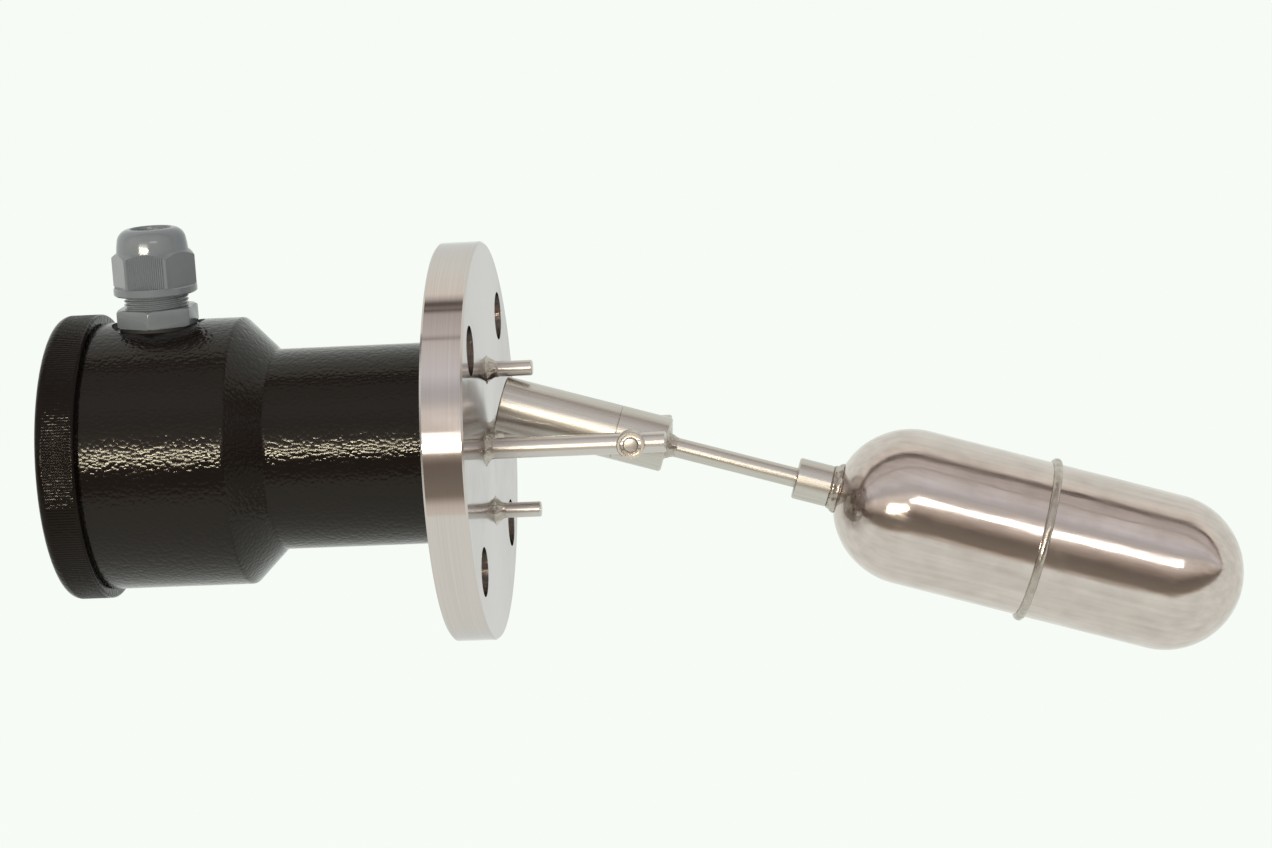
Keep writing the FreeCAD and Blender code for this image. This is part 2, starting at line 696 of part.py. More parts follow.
def build_gland_claws():
    inner = D.gland_seal_od / 2 + D.seat_gap
    outer = inner + D.gland_claw_wall
    body = turned("gland_claws", [
        (inner, tube_top),
        (outer, tube_top),
        (outer, nut_shoulder - D.gland_claw_wall),
        (inner + D.gland_claw_tip, claw_top),
        (inner, claw_top),
    ], "V_Axis")
    slot = new_sketch(body, "ClawSlotSketch", "XY_Plane", tube_top + D.gland_claw_wall)
    half = D.gland_claw_gap / 2
    outline(slot, [
        (inner - MARGIN, -half),
        (outer + MARGIN, -half),
        (outer + MARGIN, half),
        (inner - MARGIN, half),
    ])
    notch = pocket(body, "ClawSlot", slot, D.gland_tube_rise, True)
    polar(body, "ClawSlots", notch, slot, "N_Axis", D.gland_claw_count)
    return place(body, x=gland_x)


def build_gland_nut():
    bore = D.gland_thread / 2 + D.thread_gap
    dome = D.nut_dome_od / 2
    mouth = D.nut_mouth / 2
    body = turned("gland_nut", [
        (bore, nut_base),
        (D.nut_collar_od / 2, nut_base),
        (D.nut_collar_od / 2, nut_base + D.nut_collar_rise),
        (dome, nut_base + D.nut_collar_rise),
        (dome, gland_top - D.nut_bend_down),
        (D.nut_knee_od / 2, gland_top - D.nut_knee_down),
        (D.nut_face_od / 2, gland_top),
        (mouth, gland_top),
        (mouth, gland_top - D.nut_mouth_deep),
        (bore, nut_shoulder),
    ], "V_Axis")
    flats = new_sketch(body, "NutFlatSketch", "XY_Plane", nut_base + D.nut_collar_rise)
    hex_outline(flats, D.gland_flats, measure(0))
    ring_hole(flats, 0, 0, bore * 2, "hole")
    pad = body.newObject("PartDesign::Pad", "NutFlats")
    pad.Profile = flats
    bind(pad, "Length", D.nut_rise - D.nut_collar_rise)
    doc.recompute()
    return place(body, x=gland_x)


# ---------------------------------------------------------------- pivot bars and stops
def build_pivot_bar(label, side):
    name = label.title().replace("_", "")
    across = D.bar_spread / 2 * side
    rod = cylinder(name + "Rod", D.bar_dia, D.pivot_reach + D.bar_past_pin)
    place(rod, y=across, turn=ALONG_X)
    boss_long = D.bar_dia / 2 + D.boss_proud
    boss = cylinder(name + "Boss", D.boss_od, boss_long)
    boss_from = (D.bar_spread / 2 * side) - (boss_long if side < 0 else measure(0))
    place(boss, x=D.pivot_reach, y=boss_from, turn=ALONG_Y)
    hole = cylinder(name + "Hole", D.pin_dia + D.thread_gap * 2, D.bar_dia * 4)
    place(hole, x=D.pivot_reach, y=across - D.bar_dia * 2, turn=ALONG_Y)
    return keep(cut(name, fuse(name + "Blank", rod, boss), hole), label)


def build_pivot_pin():
    end = boss_face - D.pin_short
    edge = D.pin_chamfer
    radius = D.pin_dia / 2
    body = doc.addObject("PartDesign::Body", "PivotPin")
    revolve(body, "PivotPinTurned", [
        (0, -end),
        (radius - edge, -end),
        (radius, -end + edge),
        (radius, end - edge),
        (radius - edge, end),
        (0, end),
    ], "V_Axis")
    place(body, x=D.pivot_reach, turn=ALONG_Y)
    return keep(body, "pivot_pin")


def build_stop_pin(label, side):
    pin = cylinder(label.title().replace("_", ""), D.stop_dia, D.stop_reach)
    place(pin, z=stop_level * side, turn=ALONG_X)
    return keep(pin, label)


def weld_ring(name, diameter, leg):
    """Cone-shaped weld fillet around a round bar, its wide end at the start."""
    ring = doc.addObject("Part::Cone", name + "Cone")
    bind(ring, "Radius1", diameter / 2 + leg)
    bind(ring, "Radius2", diameter / 2 + D.weld_toe)
    bind(ring, "Height", leg)
    bore = cylinder(name + "Bore", diameter + D.press_gap * 2, leg * 3)
    return ring, bore


def build_flange_welds(label, diameter, spots):
    welds = []
    for number, (y, z) in enumerate(spots):
        name = "%sWeld%d" % (label.split("_")[0].title(), number)
        ring, bore = weld_ring(name, diameter, D.weld_leg)
        place(ring, y=y, z=z, turn=ALONG_X)
        place(bore, x=-D.weld_leg, y=y, z=z, turn=ALONG_X)
        welds.append(cut(name, ring, bore))
    return group(label, welds)


# ---------------------------------------------------------------- float arm
ARM_TURN = Rotation(Vector(0, 1, 0), D.arm_tilt.number)


def on_arm(body):
    """Pieces of the arm are drawn round their own axis, from below the pin, with +X to the float."""
    place(body, x=D.pivot_reach - D.arm_drop * arm_sin, z=-D.arm_drop * arm_cos, turn=ARM_TURN)
    body.setExpression(".Placement.Rotation.Angle", "Sizes.arm_tilt * 1 deg")
    return body


def arm_turned(label, points):
    return on_arm(turned(label, points))


def build_magnet_tube():
    bore = tube_radius - D.tube_wall
    return arm_turned("magnet_tube", [
        (-D.tube_behind, bore),
        (-D.tube_behind, tube_radius),
        (-D.tube_joint, tube_radius),
        (-D.tube_joint, bore),
    ])


def build_tube_cap():
    radius = tube_radius - D.tube_wall - D.seat_gap / 2
    return arm_turned("tube_cap", [
        (-D.tube_behind, 0),
        (-D.tube_behind, radius),
        (-D.tube_behind + D.tube_cap_thick, radius),
        (-D.tube_behind + D.tube_cap_thick, 0),
    ])


def magnet_start():
    return -D.tube_behind + D.tube_cap_thick + D.seat_gap


def build_float_magnet():
    radius = tube_radius - D.tube_wall - D.seat_gap * 2
    start = magnet_start()
    return arm_turned("float_magnet", [
        (start, 0),
        (start, radius),
        (start + D.magnet_long, radius),
        (start + D.magnet_long, 0),
    ])


def build_magnet_spacer():
    outer = tube_radius - D.tube_wall - D.seat_gap * 2
    start = magnet_start() + D.magnet_long + D.seat_gap
    stop = -D.tube_joint - D.plug_spigot - D.seat_gap
    return arm_turned("magnet_spacer", [
        (start, outer - D.tube_wall),
        (start, outer),
        (stop, outer),
        (stop, outer - D.tube_wall),
    ])


def build_end_plug():
    spigot = tube_radius - D.tube_wall - D.seat_gap / 2
    rod_hole = D.rod_dia / 2 + D.thread_gap
    body = arm_turned("end_plug", [
        (-D.tube_joint - D.plug_spigot, 0),
        (-D.tube_joint - D.plug_spigot, spigot),
        (-D.tube_joint, spigot),
        (-D.tube_joint, tube_radius),
        (D.plug_ahead, tube_radius),
        (D.plug_ahead, rod_hole),
        (D.plug_ahead - D.plug_hole, rod_hole),
        (D.plug_ahead - D.plug_hole, 0),
    ])
    sketch = new_sketch(body, "PinHoleSketch", "XZ_Plane", -D.tube_od)
    ring_hole(sketch, 0, D.arm_drop, D.pin_dia + D.pin_gap * 2)
    pocket(body, "PinHole", sketch, D.tube_od * 2, True)
    return body


def build_float_rod():
    radius = D.rod_dia / 2
    start = D.plug_ahead - D.plug_hole + D.seat_gap
    stop = D.socket_at + D.socket_hole - D.seat_gap
    return arm_turned("float_rod", [(start, 0), (start, radius), (stop, radius), (stop, 0)])


def build_rod_weld():
    bore = D.rod_dia / 2 + D.press_gap
    return arm_turned("rod_weld", [
        (D.plug_ahead, bore),
        (D.plug_ahead, D.rod_weld_od / 2),
        (D.plug_ahead + D.rod_weld_long / 3, D.rod_weld_mid_od / 2),
        (D.plug_ahead + D.rod_weld_long, bore + D.rod_weld_toe),
        (D.plug_ahead + D.rod_weld_long, bore),
    ])


def build_float_socket():
    radius = D.socket_od / 2
    hole = D.rod_dia / 2 + D.thread_gap
    edge = D.rim_chamfer / 2
    return arm_turned("float_socket", [
        (D.socket_at, hole),
        (D.socket_at, radius - edge),
        (D.socket_at + edge, radius),
        (socket_end, radius),
        (socket_end, 0),
        (D.socket_at + D.socket_hole, 0),
        (D.socket_at + D.socket_hole, hole),
    ])


def build_float_half(label, pole, side):
    """Half of the float: a straight shell with a domed end, open at the seam."""
    outer = D.float_od / 2
    inner = outer - D.float_wall
    straight = pole + outer * side
    return arm_turned(label, [
        (pole, 0, outer, side),
        (straight, outer),
        (float_middle, outer),
        (float_middle, inner),
        (straight, inner, inner, -side),
        (pole + D.float_wall * side, 0),
    ])


def build_socket_weld():
    """Ring of weld that fills the corner between the socket and the float's dome."""
    radius = D.float_od / 2
    foot = D.socket_weld_od / 2
    neck = D.socket_od / 2
    depth = radius - Measure(
        math.sqrt(radius.number ** 2 - foot.number ** 2),
        "sqrt(%s * %s - %s * %s)" % (radius.text, radius.text, foot.text, foot.text),
    )
    return arm_turned("socket_weld", [
        (socket_end, 0),
        (socket_end, neck),
        (float_start + depth, foot, radius, -1),
        (float_start, 0),
    ])


# half of a weld bead's section, as shares of its half width and of its height
BEAD_SHARES = [(1, 0), (0.75, 0.7), (0.3, 1)]


def build_seam_weld():
    radius = D.float_od / 2
    half = D.seam_wide / 2
    rising = [(float_middle - half * out, radius + D.seam_proud * up) for out, up in BEAD_SHARES]
    falling = [(float_middle + half * out, radius + D.seam_proud * up) for out, up in BEAD_SHARES[::-1]]
    return arm_turned("seam_weld", rising + falling)


# ---------------------------------------------------------------- switch inside the housing
LEVER_TURN = Rotation(Vector(0, 1, 0), D.lever_swing.number)
BLADE_TURN = Rotation(Vector(0, 1, 0), -D.blade_rise.number)


def corner_spots(circle):
    """The four 45 degree corners of a pitch circle, as y and z."""
    spot = at_corner(circle)
    return [(spot * side, spot * level) for side in SIDES for level in SIDES]


def cross_hole(name, diameter, x, z):
    """Tool for a hole across the chassis plate."""
    hole = cylinder(name, diameter, D.chassis_thick * 4)
    return place(hole, x=x, y=D.chassis_offset - D.chassis_thick, z=z, turn=ALONG_Y)


def build_chassis():
    """Bent sheet: a ring foot under the fixing screws, a side plate and a terminal tab."""
    ring = cylinder("ChassisRing", D.chassis_ring, D.chassis_thick)
    place(ring, x=chassis_face, turn=ALONG_X)
    opening = cylinder("ChassisOpening", D.floor_opening, D.chassis_thick * 3)
    place(opening, x=chassis_face - D.chassis_thick, turn=ALONG_X)
    tools = [opening]
    for number, (y, z) in enumerate(corner_spots(D.fix_circle)):
        hole = cylinder("ChassisFixHole%d" % number, D.fix_thread + D.seat_gap * 4,
                        D.chassis_thick * 3)
        tools.append(place(hole, x=chassis_face - D.chassis_thick, y=y, z=z, turn=ALONG_X))
    foot_ring = cut("ChassisFootRing", ring, *tools)
    rib = box("ChassisRib", D.chassis_down / 2, D.chassis_thick, D.chassis_down * 2)
    place(rib, x=floor_top - D.chassis_down / 2, y=D.chassis_offset, z=-D.chassis_down)
    plate = box("ChassisPlate", floor_top - tab_face, D.chassis_thick,
                D.chassis_up + D.chassis_down)
    place(plate, x=tab_face, y=D.chassis_offset, z=-D.chassis_down)
    tab = box("ChassisTab", D.chassis_thick, D.tab_wide, D.tab_high)
    place(tab, x=tab_face, y=plate_far - D.tab_wide, z=-D.tab_high / 2)
    holes = [
        cross_hole("LeverPinHole", D.lever_pin_dia + D.thread_gap * 2, lever_x, 0),
        cross_hole("EarthHole", D.earth_screw + D.thread_gap * 2, earth_x, 0),
    ]
    for number, x in enumerate(micro_screw_x):
        thread = D.small_screw + D.thread_gap * 2
        holes.append(cross_hole("MicroHole%d" % number, thread, x, micro_screw_z))
    for number, side in enumerate(SIDES):
        hole = cylinder("TabHole%d" % number, D.small_screw + D.thread_gap * 2, D.chassis_thick * 3)
        place(hole, x=tab_face - D.chassis_thick, y=block_y, z=block_screw_z * side, turn=ALONG_X)
        holes.append(hole)
    blank = fuse("ChassisBlank", foot_ring, rib, plate, tab)
    return keep(cut("Chassis", blank, *holes), "switch_chassis")


def build_lever_pin():
    shank = cylinder("LeverPinShank", D.lever_pin_dia, lever_pin_long + D.chassis_thick)
    place(shank, x=lever_x, y=plate_far - D.chassis_thick - lever_pin_long, turn=ALONG_Y)
    head = cylinder("LeverPinHead", D.lever_pin_dia * 2, D.chassis_thick)
    place(head, x=lever_x, y=plate_far, turn=ALONG_Y)
    return keep(fuse("LeverPin", shank, head), "lever_pin")


def build_lever_clip():
    washer = cylinder("LeverClipDisc", D.lever_pin_dia * 2, D.clip_thick)
    place(washer, x=lever_x, y=-D.hub_ahead - D.seat_gap * 2 - D.clip_thick, turn=ALONG_Y)
    bore = cylinder("LeverClipBore", D.lever_pin_dia + D.press_gap * 2, D.clip_thick * 3)
    place(bore, x=lever_x, y=-D.hub_ahead - D.seat_gap * 2 - D.clip_thick * 2, turn=ALONG_Y)
    return keep(cut("LeverClip", washer, bore), "lever_clip")


def on_lever(thing):
    place(thing, x=lever_x, turn=LEVER_TURN)
    thing.setExpression(".Placement.Rotation.Angle", "Sizes.lever_swing * 1 deg")
    return thing


def build_lever():
    """Magnet lever, drawn level with its pin at the origin and +X to the magnet."""
    cup_radius = D.inner_magnet_dia / 2 + D.holder_wall
    back = D.inner_magnet_ahead - D.holder_wall
    seat = D.inner_magnet_dia / 2 + D.seat_gap
    body = doc.addObject("PartDesign::Body", "MagnetLever")
    revolve(body, "MagnetCup", [
        (back, 0),
        (back, cup_radius),
        (D.inner_magnet_ahead + D.holder_grip, cup_radius),
        (D.inner_magnet_ahead + D.holder_grip, seat),
        (D.inner_magnet_ahead, seat),
        (D.inner_magnet_ahead, 0),
    ])
    arm = new_sketch(body, "LeverArmSketch", "XZ_Plane")
    half = D.lever_high / 2
    outline(arm, [
        (-D.pad_behind, -half),
        (back + D.holder_wall / 2, -half),
        (back + D.holder_wall / 2, half),
        (-D.pad_behind, half),
    ])
    pad_both_ways(body, "LeverArm", arm, D.lever_thick)
    push = new_sketch(body, "PushPadSketch", "XZ_Plane")
    ring_hole(push, -D.pad_behind, 0, D.pad_dia)
    pad_both_ways(body, "PushPad", push, D.pad_wide)
    hub = new_sketch(body, "LeverHubSketch", "XZ_Plane", -(D.chassis_offset - D.seat_gap * 2))
    ring_hole(hub, 0, 0, D.lever_hub)
    pad_one_way(body, "LeverHub", hub, D.hub_ahead + D.chassis_offset - D.seat_gap * 2)
    bore = new_sketch(body, "LeverBoreSketch", "XZ_Plane", -D.chassis_offset)
    ring_hole(bore, 0, 0, D.lever_pin_dia + D.thread_gap * 2)
    pocket(body, "LeverBore", bore, D.chassis_offset * 4, True)
    return keep(on_lever(body), "magnet_lever")


def pad_both_ways(body, name, sketch, width):
    pad = body.newObject("PartDesign::Pad", name)
    pad.Profile = sketch
    pad.SideType = "Symmetric"
    bind(pad, "Length", width)
    doc.recompute()


def pad_one_way(body, name, sketch, width):
    pad = body.newObject("PartDesign::Pad", name)
    pad.Profile = sketch
    bind(pad, "Length", width)
    doc.recompute()


def build_inner_magnet():
    start = D.inner_magnet_ahead + D.seat_gap / 2
    body = doc.addObject("PartDesign::Body", "SwitchMagnet")
    radius = D.inner_magnet_dia / 2
    revolve(body, "SwitchMagnetTurned", [
        (start, 0),
        (start, radius),
        (start + D.inner_magnet_long, radius),
        (start + D.inner_magnet_long, 0),
    ])
    return keep(on_lever(body), "switch_magnet")


def build_micro_case():
    case = box("MicroCaseBlock", D.micro_long, D.micro_wide, D.micro_high)
    place(case, x=micro_left, y=D.chassis_offset - D.micro_wide, z=micro_top - D.micro_high)
    ear = box("MicroHingeEar", D.blade_eye, D.micro_ear_wide, D.micro_ear_rise + MARGIN)
    place(ear, x=micro_hinge_x - D.blade_eye / 2, y=micro_y - D.micro_ear_wide / 2,
          z=micro_top - MARGIN)
    tools = []
    well = cylinder("PlungerWell", D.plunger_dia + D.thread_gap * 2, D.plunger_well + MARGIN)
    tools.append(place(well, x=plunger_x, y=micro_y, z=micro_top - D.plunger_well))
    for number, x in enumerate(micro_screw_x):
        hole = cylinder("MicroScrewHole%d" % number, D.small_screw + D.seat_gap, D.micro_wide * 3)
        tools.append(place(hole, x=x, y=micro_y - D.micro_wide * 1.5, z=micro_screw_z, turn=ALONG_Y))
    return keep(cut("MicroCase", fuse("MicroCaseBlank", case, ear), *tools), "snap_switch_case")


def build_micro_screws():
    screws = []
    for number, x in enumerate(micro_screw_x):
        front = D.chassis_offset - D.micro_wide
        screws.append(pan_screw("MicroScrew%d" % number, D.small_screw, D.small_head,
                                D.small_head_rise, plate_far - front,
                                (x, front, micro_screw_z), ALONG_Y))
    return group("snap_switch_screws", screws)


# slot of a pan head screw, as shares of its head, of its thread and of its head's rise
SLOT_LONG = 1.4
SLOT_WIDE = 0.25
SLOT_DEEP = 0.5


def pan_screw(name, thread, head, rise, reach, spot, turn):
    """Slotted pan head screw; its head's seat is at spot and it runs along the turned +Z."""
    along = turn.multVec(Vector(0, 0, 1))
    x, y, z = [measure(value) for value in spot]

    def shifted(distance):
        moves = [distance * part if abs(part) > 0.5 else measure(0)
                 for part in (round(along.x), round(along.y), round(along.z))]
        return {"x": x + moves[0], "y": y + moves[1], "z": z + moves[2]}

    cap = cylinder(name + "Head", head, rise)
    place(cap, turn=turn, **shifted(-rise))
    shank = cylinder(name + "Shank", thread, reach)
    place(shank, turn=turn, **shifted(measure(0)))
    slot = doc.addObject("Part::Box", name + "Slot")
    bind(slot, "Length", head * SLOT_LONG)
    bind(slot, "Width", thread * SLOT_WIDE)
    bind(slot, "Height", rise * SLOT_DEEP)
    centre = FreeCAD.Placement(Vector(*[value.number for value in shifted(-rise).values()]), turn)
    half_slot = Vector(head.number * SLOT_LONG / 2, thread.number * SLOT_WIDE / 2, 0)
    corner = FreeCAD.Placement(-half_slot, Rotation())
    slot.Placement = centre.multiply(corner)
    return cut(name, fuse(name + "Blank", cap, shank), slot)


def build_micro_terminals():
    tabs = []
    for number in range(int(D.contact_tabs.number)):
        tab = box("MicroTab%d" % number, D.contact_thick, D.contact_wide, D.contact_drop)
        middle = micro_left + D.contact_inset + D.contact_pitch * number
        place(tab, x=middle - D.contact_thick / 2, y=micro_y - D.contact_wide / 2,
              z=micro_top - D.micro_high - D.contact_drop)
        tabs.append(tab)
    return group("snap_switch_tabs", tabs)


def build_blade():
    """Leaf of the snap switch, drawn level from its hinge towards +X."""
    leaf = box("BladeLeaf", D.blade_long - D.blade_wide / 2, D.blade_wide, D.blade_thick)
    place(leaf, x=D.blade_wide / 2, y=-D.blade_wide / 2, z=-D.blade_thick / 2)
    knuckle = []
    eye_middle = (D.blade_wide - D.blade_eye_thick) / 2
    for number, side in enumerate(SIDES):
        eye_face = eye_middle * side - D.blade_eye_thick / 2
        ring = cylinder("BladeEye%d" % number, D.blade_eye, D.blade_eye_thick)
        place(ring, y=eye_face, turn=ALONG_Y)
        web = box("BladeWeb%d" % number, D.blade_wide, D.blade_eye_thick, D.blade_thick)
        place(web, y=eye_face, z=-D.blade_thick / 2)
        knuckle += [ring, web]
    blade = fuse("Blade", leaf, *knuckle)
    place(blade, x=micro_hinge_x, y=micro_y, z=micro_hinge_z, turn=BLADE_TURN)
    blade.setExpression(".Placement.Rotation.Angle", "Sizes.blade_rise * -1 deg")
    return keep(blade, "snap_switch_blade")


def build_plunger():
    under_blade = micro_hinge_z + D.plunger_ahead * of_angle("tan", D.blade_rise) - D.blade_thick / 2
    foot = micro_top - D.plunger_sunk
    rod = cylinder("SwitchPlunger", D.plunger_dia, under_blade - D.plunger_slack - foot)
    place(rod, x=plunger_x, y=micro_y, z=foot)
    return keep(rod, "snap_switch_plunger")


def build_terminal_block():
    block = box("TerminalBlank", D.block_high, D.block_wide, D.block_long)
    place(block, x=block_top, y=block_y - D.block_wide / 2, z=-D.block_long / 2)
    tools = []
    for number, (y, z) in enumerate(pole_spots()):
        well = cylinder("PoleWell%d" % number, D.pole_screw + D.seat_gap * 6, D.pole_well)
        tools.append(place(well, x=block_top, y=y, z=z, turn=ALONG_X))
        way = cylinder("WireWay%d" % number, D.pole_screw, D.wire_way_long)
        edge = D.block_wide / 2
        start = block_y + edge - D.wire_way_long if number % 2 else block_y - edge
        tools.append(place(way, x=block_top + D.wire_way_deep, y=start, z=z, turn=ALONG_Y))
    for number, side in enumerate(SIDES):
        z = block_screw_z * side
        seat = cylinder("BlockScrewSeat%d" % number, D.small_head + D.seat_gap * 4,
                        D.small_head_rise * 2)
        tools.append(place(seat, x=block_top, y=block_y, z=z, turn=ALONG_X))
        hole = cylinder("BlockScrewHole%d" % number, D.small_screw + D.seat_gap, D.block_high + MARGIN)
        tools.append(place(hole, x=block_top, y=block_y, z=z, turn=ALONG_X))
    return keep(cut("TerminalBlock", block, *tools), "terminal_block")


def pole_spots():
    """Screw places of the terminal block, in pairs across it."""
    spots = []
    for pole in range(int(D.pole_count.number)):
        z = D.pole_pitch * (pole - (D.pole_count.number - 1) / 2)
        for side in SIDES:
            spots.append((block_y + D.pole_spread / 2 * side, z))
    return spots


def build_pole_screws():
    screws = []
    for number, (y, z) in enumerate(pole_spots()):
        spot = (block_top + D.pole_well - D.pole_grip, y, z)
        screws.append(pan_screw("PoleScrew%d" % number, D.pole_thread, D.pole_screw,
                                D.pole_head_rise, D.pole_grip, spot, ALONG_X))
    return group("terminal_screws", screws)


def build_block_screws():
    screws = []
    for number, side in enumerate(SIDES):
        seat = block_top + D.small_head_rise * 2
        screws.append(pan_screw("BlockScrew%d" % number, D.small_screw, D.small_head,
                                D.small_head_rise, tab_face + D.chassis_thick - seat,
                                (seat, block_y, block_screw_z * side), ALONG_X))
    return group("block_screws", screws)


def build_earth_screw():
    screw = pan_screw("EarthScrew", D.earth_screw, D.earth_head, D.small_head_rise,
                      D.chassis_thick * 2, (earth_x, D.chassis_offset, 0), ALONG_Y)
    return keep(screw, "earth_screw")


# ---------------------------------------------------------------- the whole switch
build_flange()
build_housing()
build_neck_seal()
build_fixing_screws()
build_cap()
build_cap_gasket()
build_gland_body()
build_gland_washer()
build_gland_seal()
build_gland_claws()
build_gland_nut()
bar_spots = []
for label, side in (("pivot_bar_near", -1), ("pivot_bar_far", 1)):
    build_pivot_bar(label, side)
    bar_spots.append((D.bar_spread / 2 * side, measure(0)))
build_pivot_pin()
stop_spots = []
for label, side in (("upper_stop_pin", 1), ("lower_stop_pin", -1)):
    build_stop_pin(label, side)
    stop_spots.append((measure(0), stop_level * side))
build_flange_welds("bar_welds", D.bar_dia, bar_spots)
build_flange_welds("stop_welds", D.stop_dia, stop_spots)
build_magnet_tube()
build_tube_cap()
build_float_magnet()
build_magnet_spacer()
build_end_plug()
build_float_rod()
build_rod_weld()
build_float_socket()
build_float_half("float_inner_half", float_start, 1)
build_float_half("float_outer_half", float_end, -1)
build_socket_weld()
build_seam_weld()
build_chassis()
build_lever_pin()
build_lever_clip()
build_lever()
build_inner_magnet()
build_micro_case()
build_micro_screws()
build_micro_terminals()
build_blade()
build_plunger()
build_terminal_block()
build_pole_screws()
build_block_screws()
build_earth_screw()
doc.recompute()

# ---------------------------------------------------------------- checks and files
for thing in doc.Objects:
    bad = [word for word in thing.State if word in ("Invalid", "Error")]
    if bad:
        raise RuntimeError("%s failed: %s" % (thing.Name, thing.State))
for part in parts:
    if part.Shape.isNull() or not part.Shape.isValid() or not part.Shape.Solids:
        raise RuntimeError("%s has no valid solid" % part.Label)

os.makedirs("parts", exist_ok=True)
for part in parts:
    part.Shape.exportStep("parts/%s.step" % part.Label)
    print("%-22s solids %d  volume %.1f mm3" % (part.Label, len(part.Shape.Solids), part.Shape.Volume))
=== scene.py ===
import json
import math

import bmesh
import bpy
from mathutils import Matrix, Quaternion, Vector


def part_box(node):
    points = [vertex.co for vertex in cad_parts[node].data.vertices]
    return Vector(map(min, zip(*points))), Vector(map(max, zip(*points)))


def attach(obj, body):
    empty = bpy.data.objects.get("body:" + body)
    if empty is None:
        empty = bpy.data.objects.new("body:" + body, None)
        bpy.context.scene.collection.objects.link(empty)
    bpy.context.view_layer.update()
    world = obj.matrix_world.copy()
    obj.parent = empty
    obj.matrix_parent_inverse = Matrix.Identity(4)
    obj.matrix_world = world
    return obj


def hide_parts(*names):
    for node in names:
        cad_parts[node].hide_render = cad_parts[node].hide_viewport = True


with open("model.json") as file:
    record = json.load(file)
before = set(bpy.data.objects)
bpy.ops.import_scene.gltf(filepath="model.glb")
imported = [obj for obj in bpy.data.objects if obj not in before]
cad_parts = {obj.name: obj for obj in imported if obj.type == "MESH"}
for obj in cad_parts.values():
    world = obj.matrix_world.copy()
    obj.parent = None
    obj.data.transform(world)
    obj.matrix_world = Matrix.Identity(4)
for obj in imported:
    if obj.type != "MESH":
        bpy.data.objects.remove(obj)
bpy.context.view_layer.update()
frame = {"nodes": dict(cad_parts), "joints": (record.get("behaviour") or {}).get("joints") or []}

MM = 0.001
FULL_TURN = 2 * math.pi
PALE = "f7fcf6"                 # the board behind and below the object
NOISE_LOW, NOISE_HIGH = 0.3, 0.7          # nearly all of a noise's values lie between these
MIX_FIRST, MIX_SECOND, MIX_RESULT = 6, 7, 2          # a Mix node's sockets for colours

# ---------------------------------------------------------------- places taken from the frame


def middle(node):
    """The centre of a CAD node's box."""
    low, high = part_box(node)
    return (low + high) / 2


def reach(node, origin, direction):
    """A CAD node's lowest and highest place along a line, and its largest distance from it."""
    places = [vertex.co - origin for vertex in frame["nodes"][node].data.vertices]
    along = [place.dot(direction) for place in places]
    out = [(place - direction * step).length for place, step in zip(places, along)]
    return min(along), max(along), max(out)


def joint_place(name):
    """Where a joint's axis passes, from the record."""
    return next(Vector(joint["pos_m"]) for joint in frame["joints"] if joint["name"] == name)


ORIGIN = Vector((0, 0, 0))
AXIS = Vector((1, 0, 0))
UP = Vector((0, 0, 1))
ARM_ROOT = middle("magnet_tube")
ARM = (middle("float_socket") - ARM_ROOT).normalized()
ARM_TILT = math.atan2(-ARM.z, ARM.x)
GLAND_FOOT = Vector((middle("gland_body").x, middle("gland_body").y, 0))
PIVOT = joint_place("float_pivot")
BAR_LINE = 17 * MM              # from the middle plane to each pivot bar's centre line
BAR_RADIUS = 4 * MM
STOP_PIN_RADIUS = 3 * MM

# ---------------------------------------------------------------- modelling


def clear_selection():
    """Goes to object mode with nothing selected."""
    if bpy.context.object and bpy.context.object.mode != "OBJECT":
        bpy.ops.object.mode_set(mode="OBJECT")
    bpy.ops.object.select_all(action="DESELECT")


def make_active(piece):
    """Goes to object mode with one piece selected and active."""
    clear_selection()
    piece.select_set(True)
    bpy.context.view_layer.objects.active = piece


def start_editing(name):
    """Names the primitive just added and opens it in edit mode, all of it selected."""
    piece = bpy.context.object
    piece.name = name
    piece.data.name = name
    bpy.ops.object.transform_apply(location=True, rotation=True, scale=True)
    bpy.ops.object.mode_set(mode="EDIT")
    bpy.ops.mesh.select_all(action="SELECT")
    return piece


def choose(piece, keep):
    """Selects the vertices that a test on their place picks out."""
    bpy.ops.mesh.select_mode(type="VERT")
    bpy.ops.mesh.select_all(action="DESELECT")
    mesh = bmesh.from_edit_mesh(piece.data)
    for vertex in mesh.verts:
        vertex.select_set(keep(vertex.co))
    mesh.select_flush_mode()
    bmesh.update_edit_mesh(piece.data)


def turned(name, outline, sides=96):
    """A turned piece: an outline of (height, radius) points is extruded and spun round Z."""
    clear_selection()
    bpy.ops.mesh.primitive_plane_add(size=1)
    piece = start_editing(name)
    bpy.ops.mesh.merge(type="CENTER")
    height, radius = outline[0]
    bpy.ops.transform.translate(value=(radius, 0, height))
    for (low, inner), (high, outer) in zip(outline, outline[1:]):
        step = (outer - inner, 0, high - low)
        bpy.ops.mesh.extrude_region_move(TRANSFORM_OT_translate={"value": step})
    bpy.ops.mesh.select_all(action="SELECT")
    bpy.ops.mesh.spin(steps=sides, angle=FULL_TURN, center=(0, 0, 0), axis=(0, 0, 1))
    bpy.ops.mesh.select_all(action="SELECT")
    bpy.ops.mesh.remove_doubles(threshold=0.002 * MM)
    bpy.ops.mesh.normals_make_consistent(inside=False)
    return piece


def arc(height, radius, bend, start, end, steps=8):
    """Points of (height, radius) round a bend's centre, from one angle to another, in degrees."""
    points = []
    for step in range(steps + 1):
        angle = math.radians(start + (end - start) * step / steps)
        points.append((height + bend * math.sin(angle), radius + bend * math.cos(angle)))
    return points


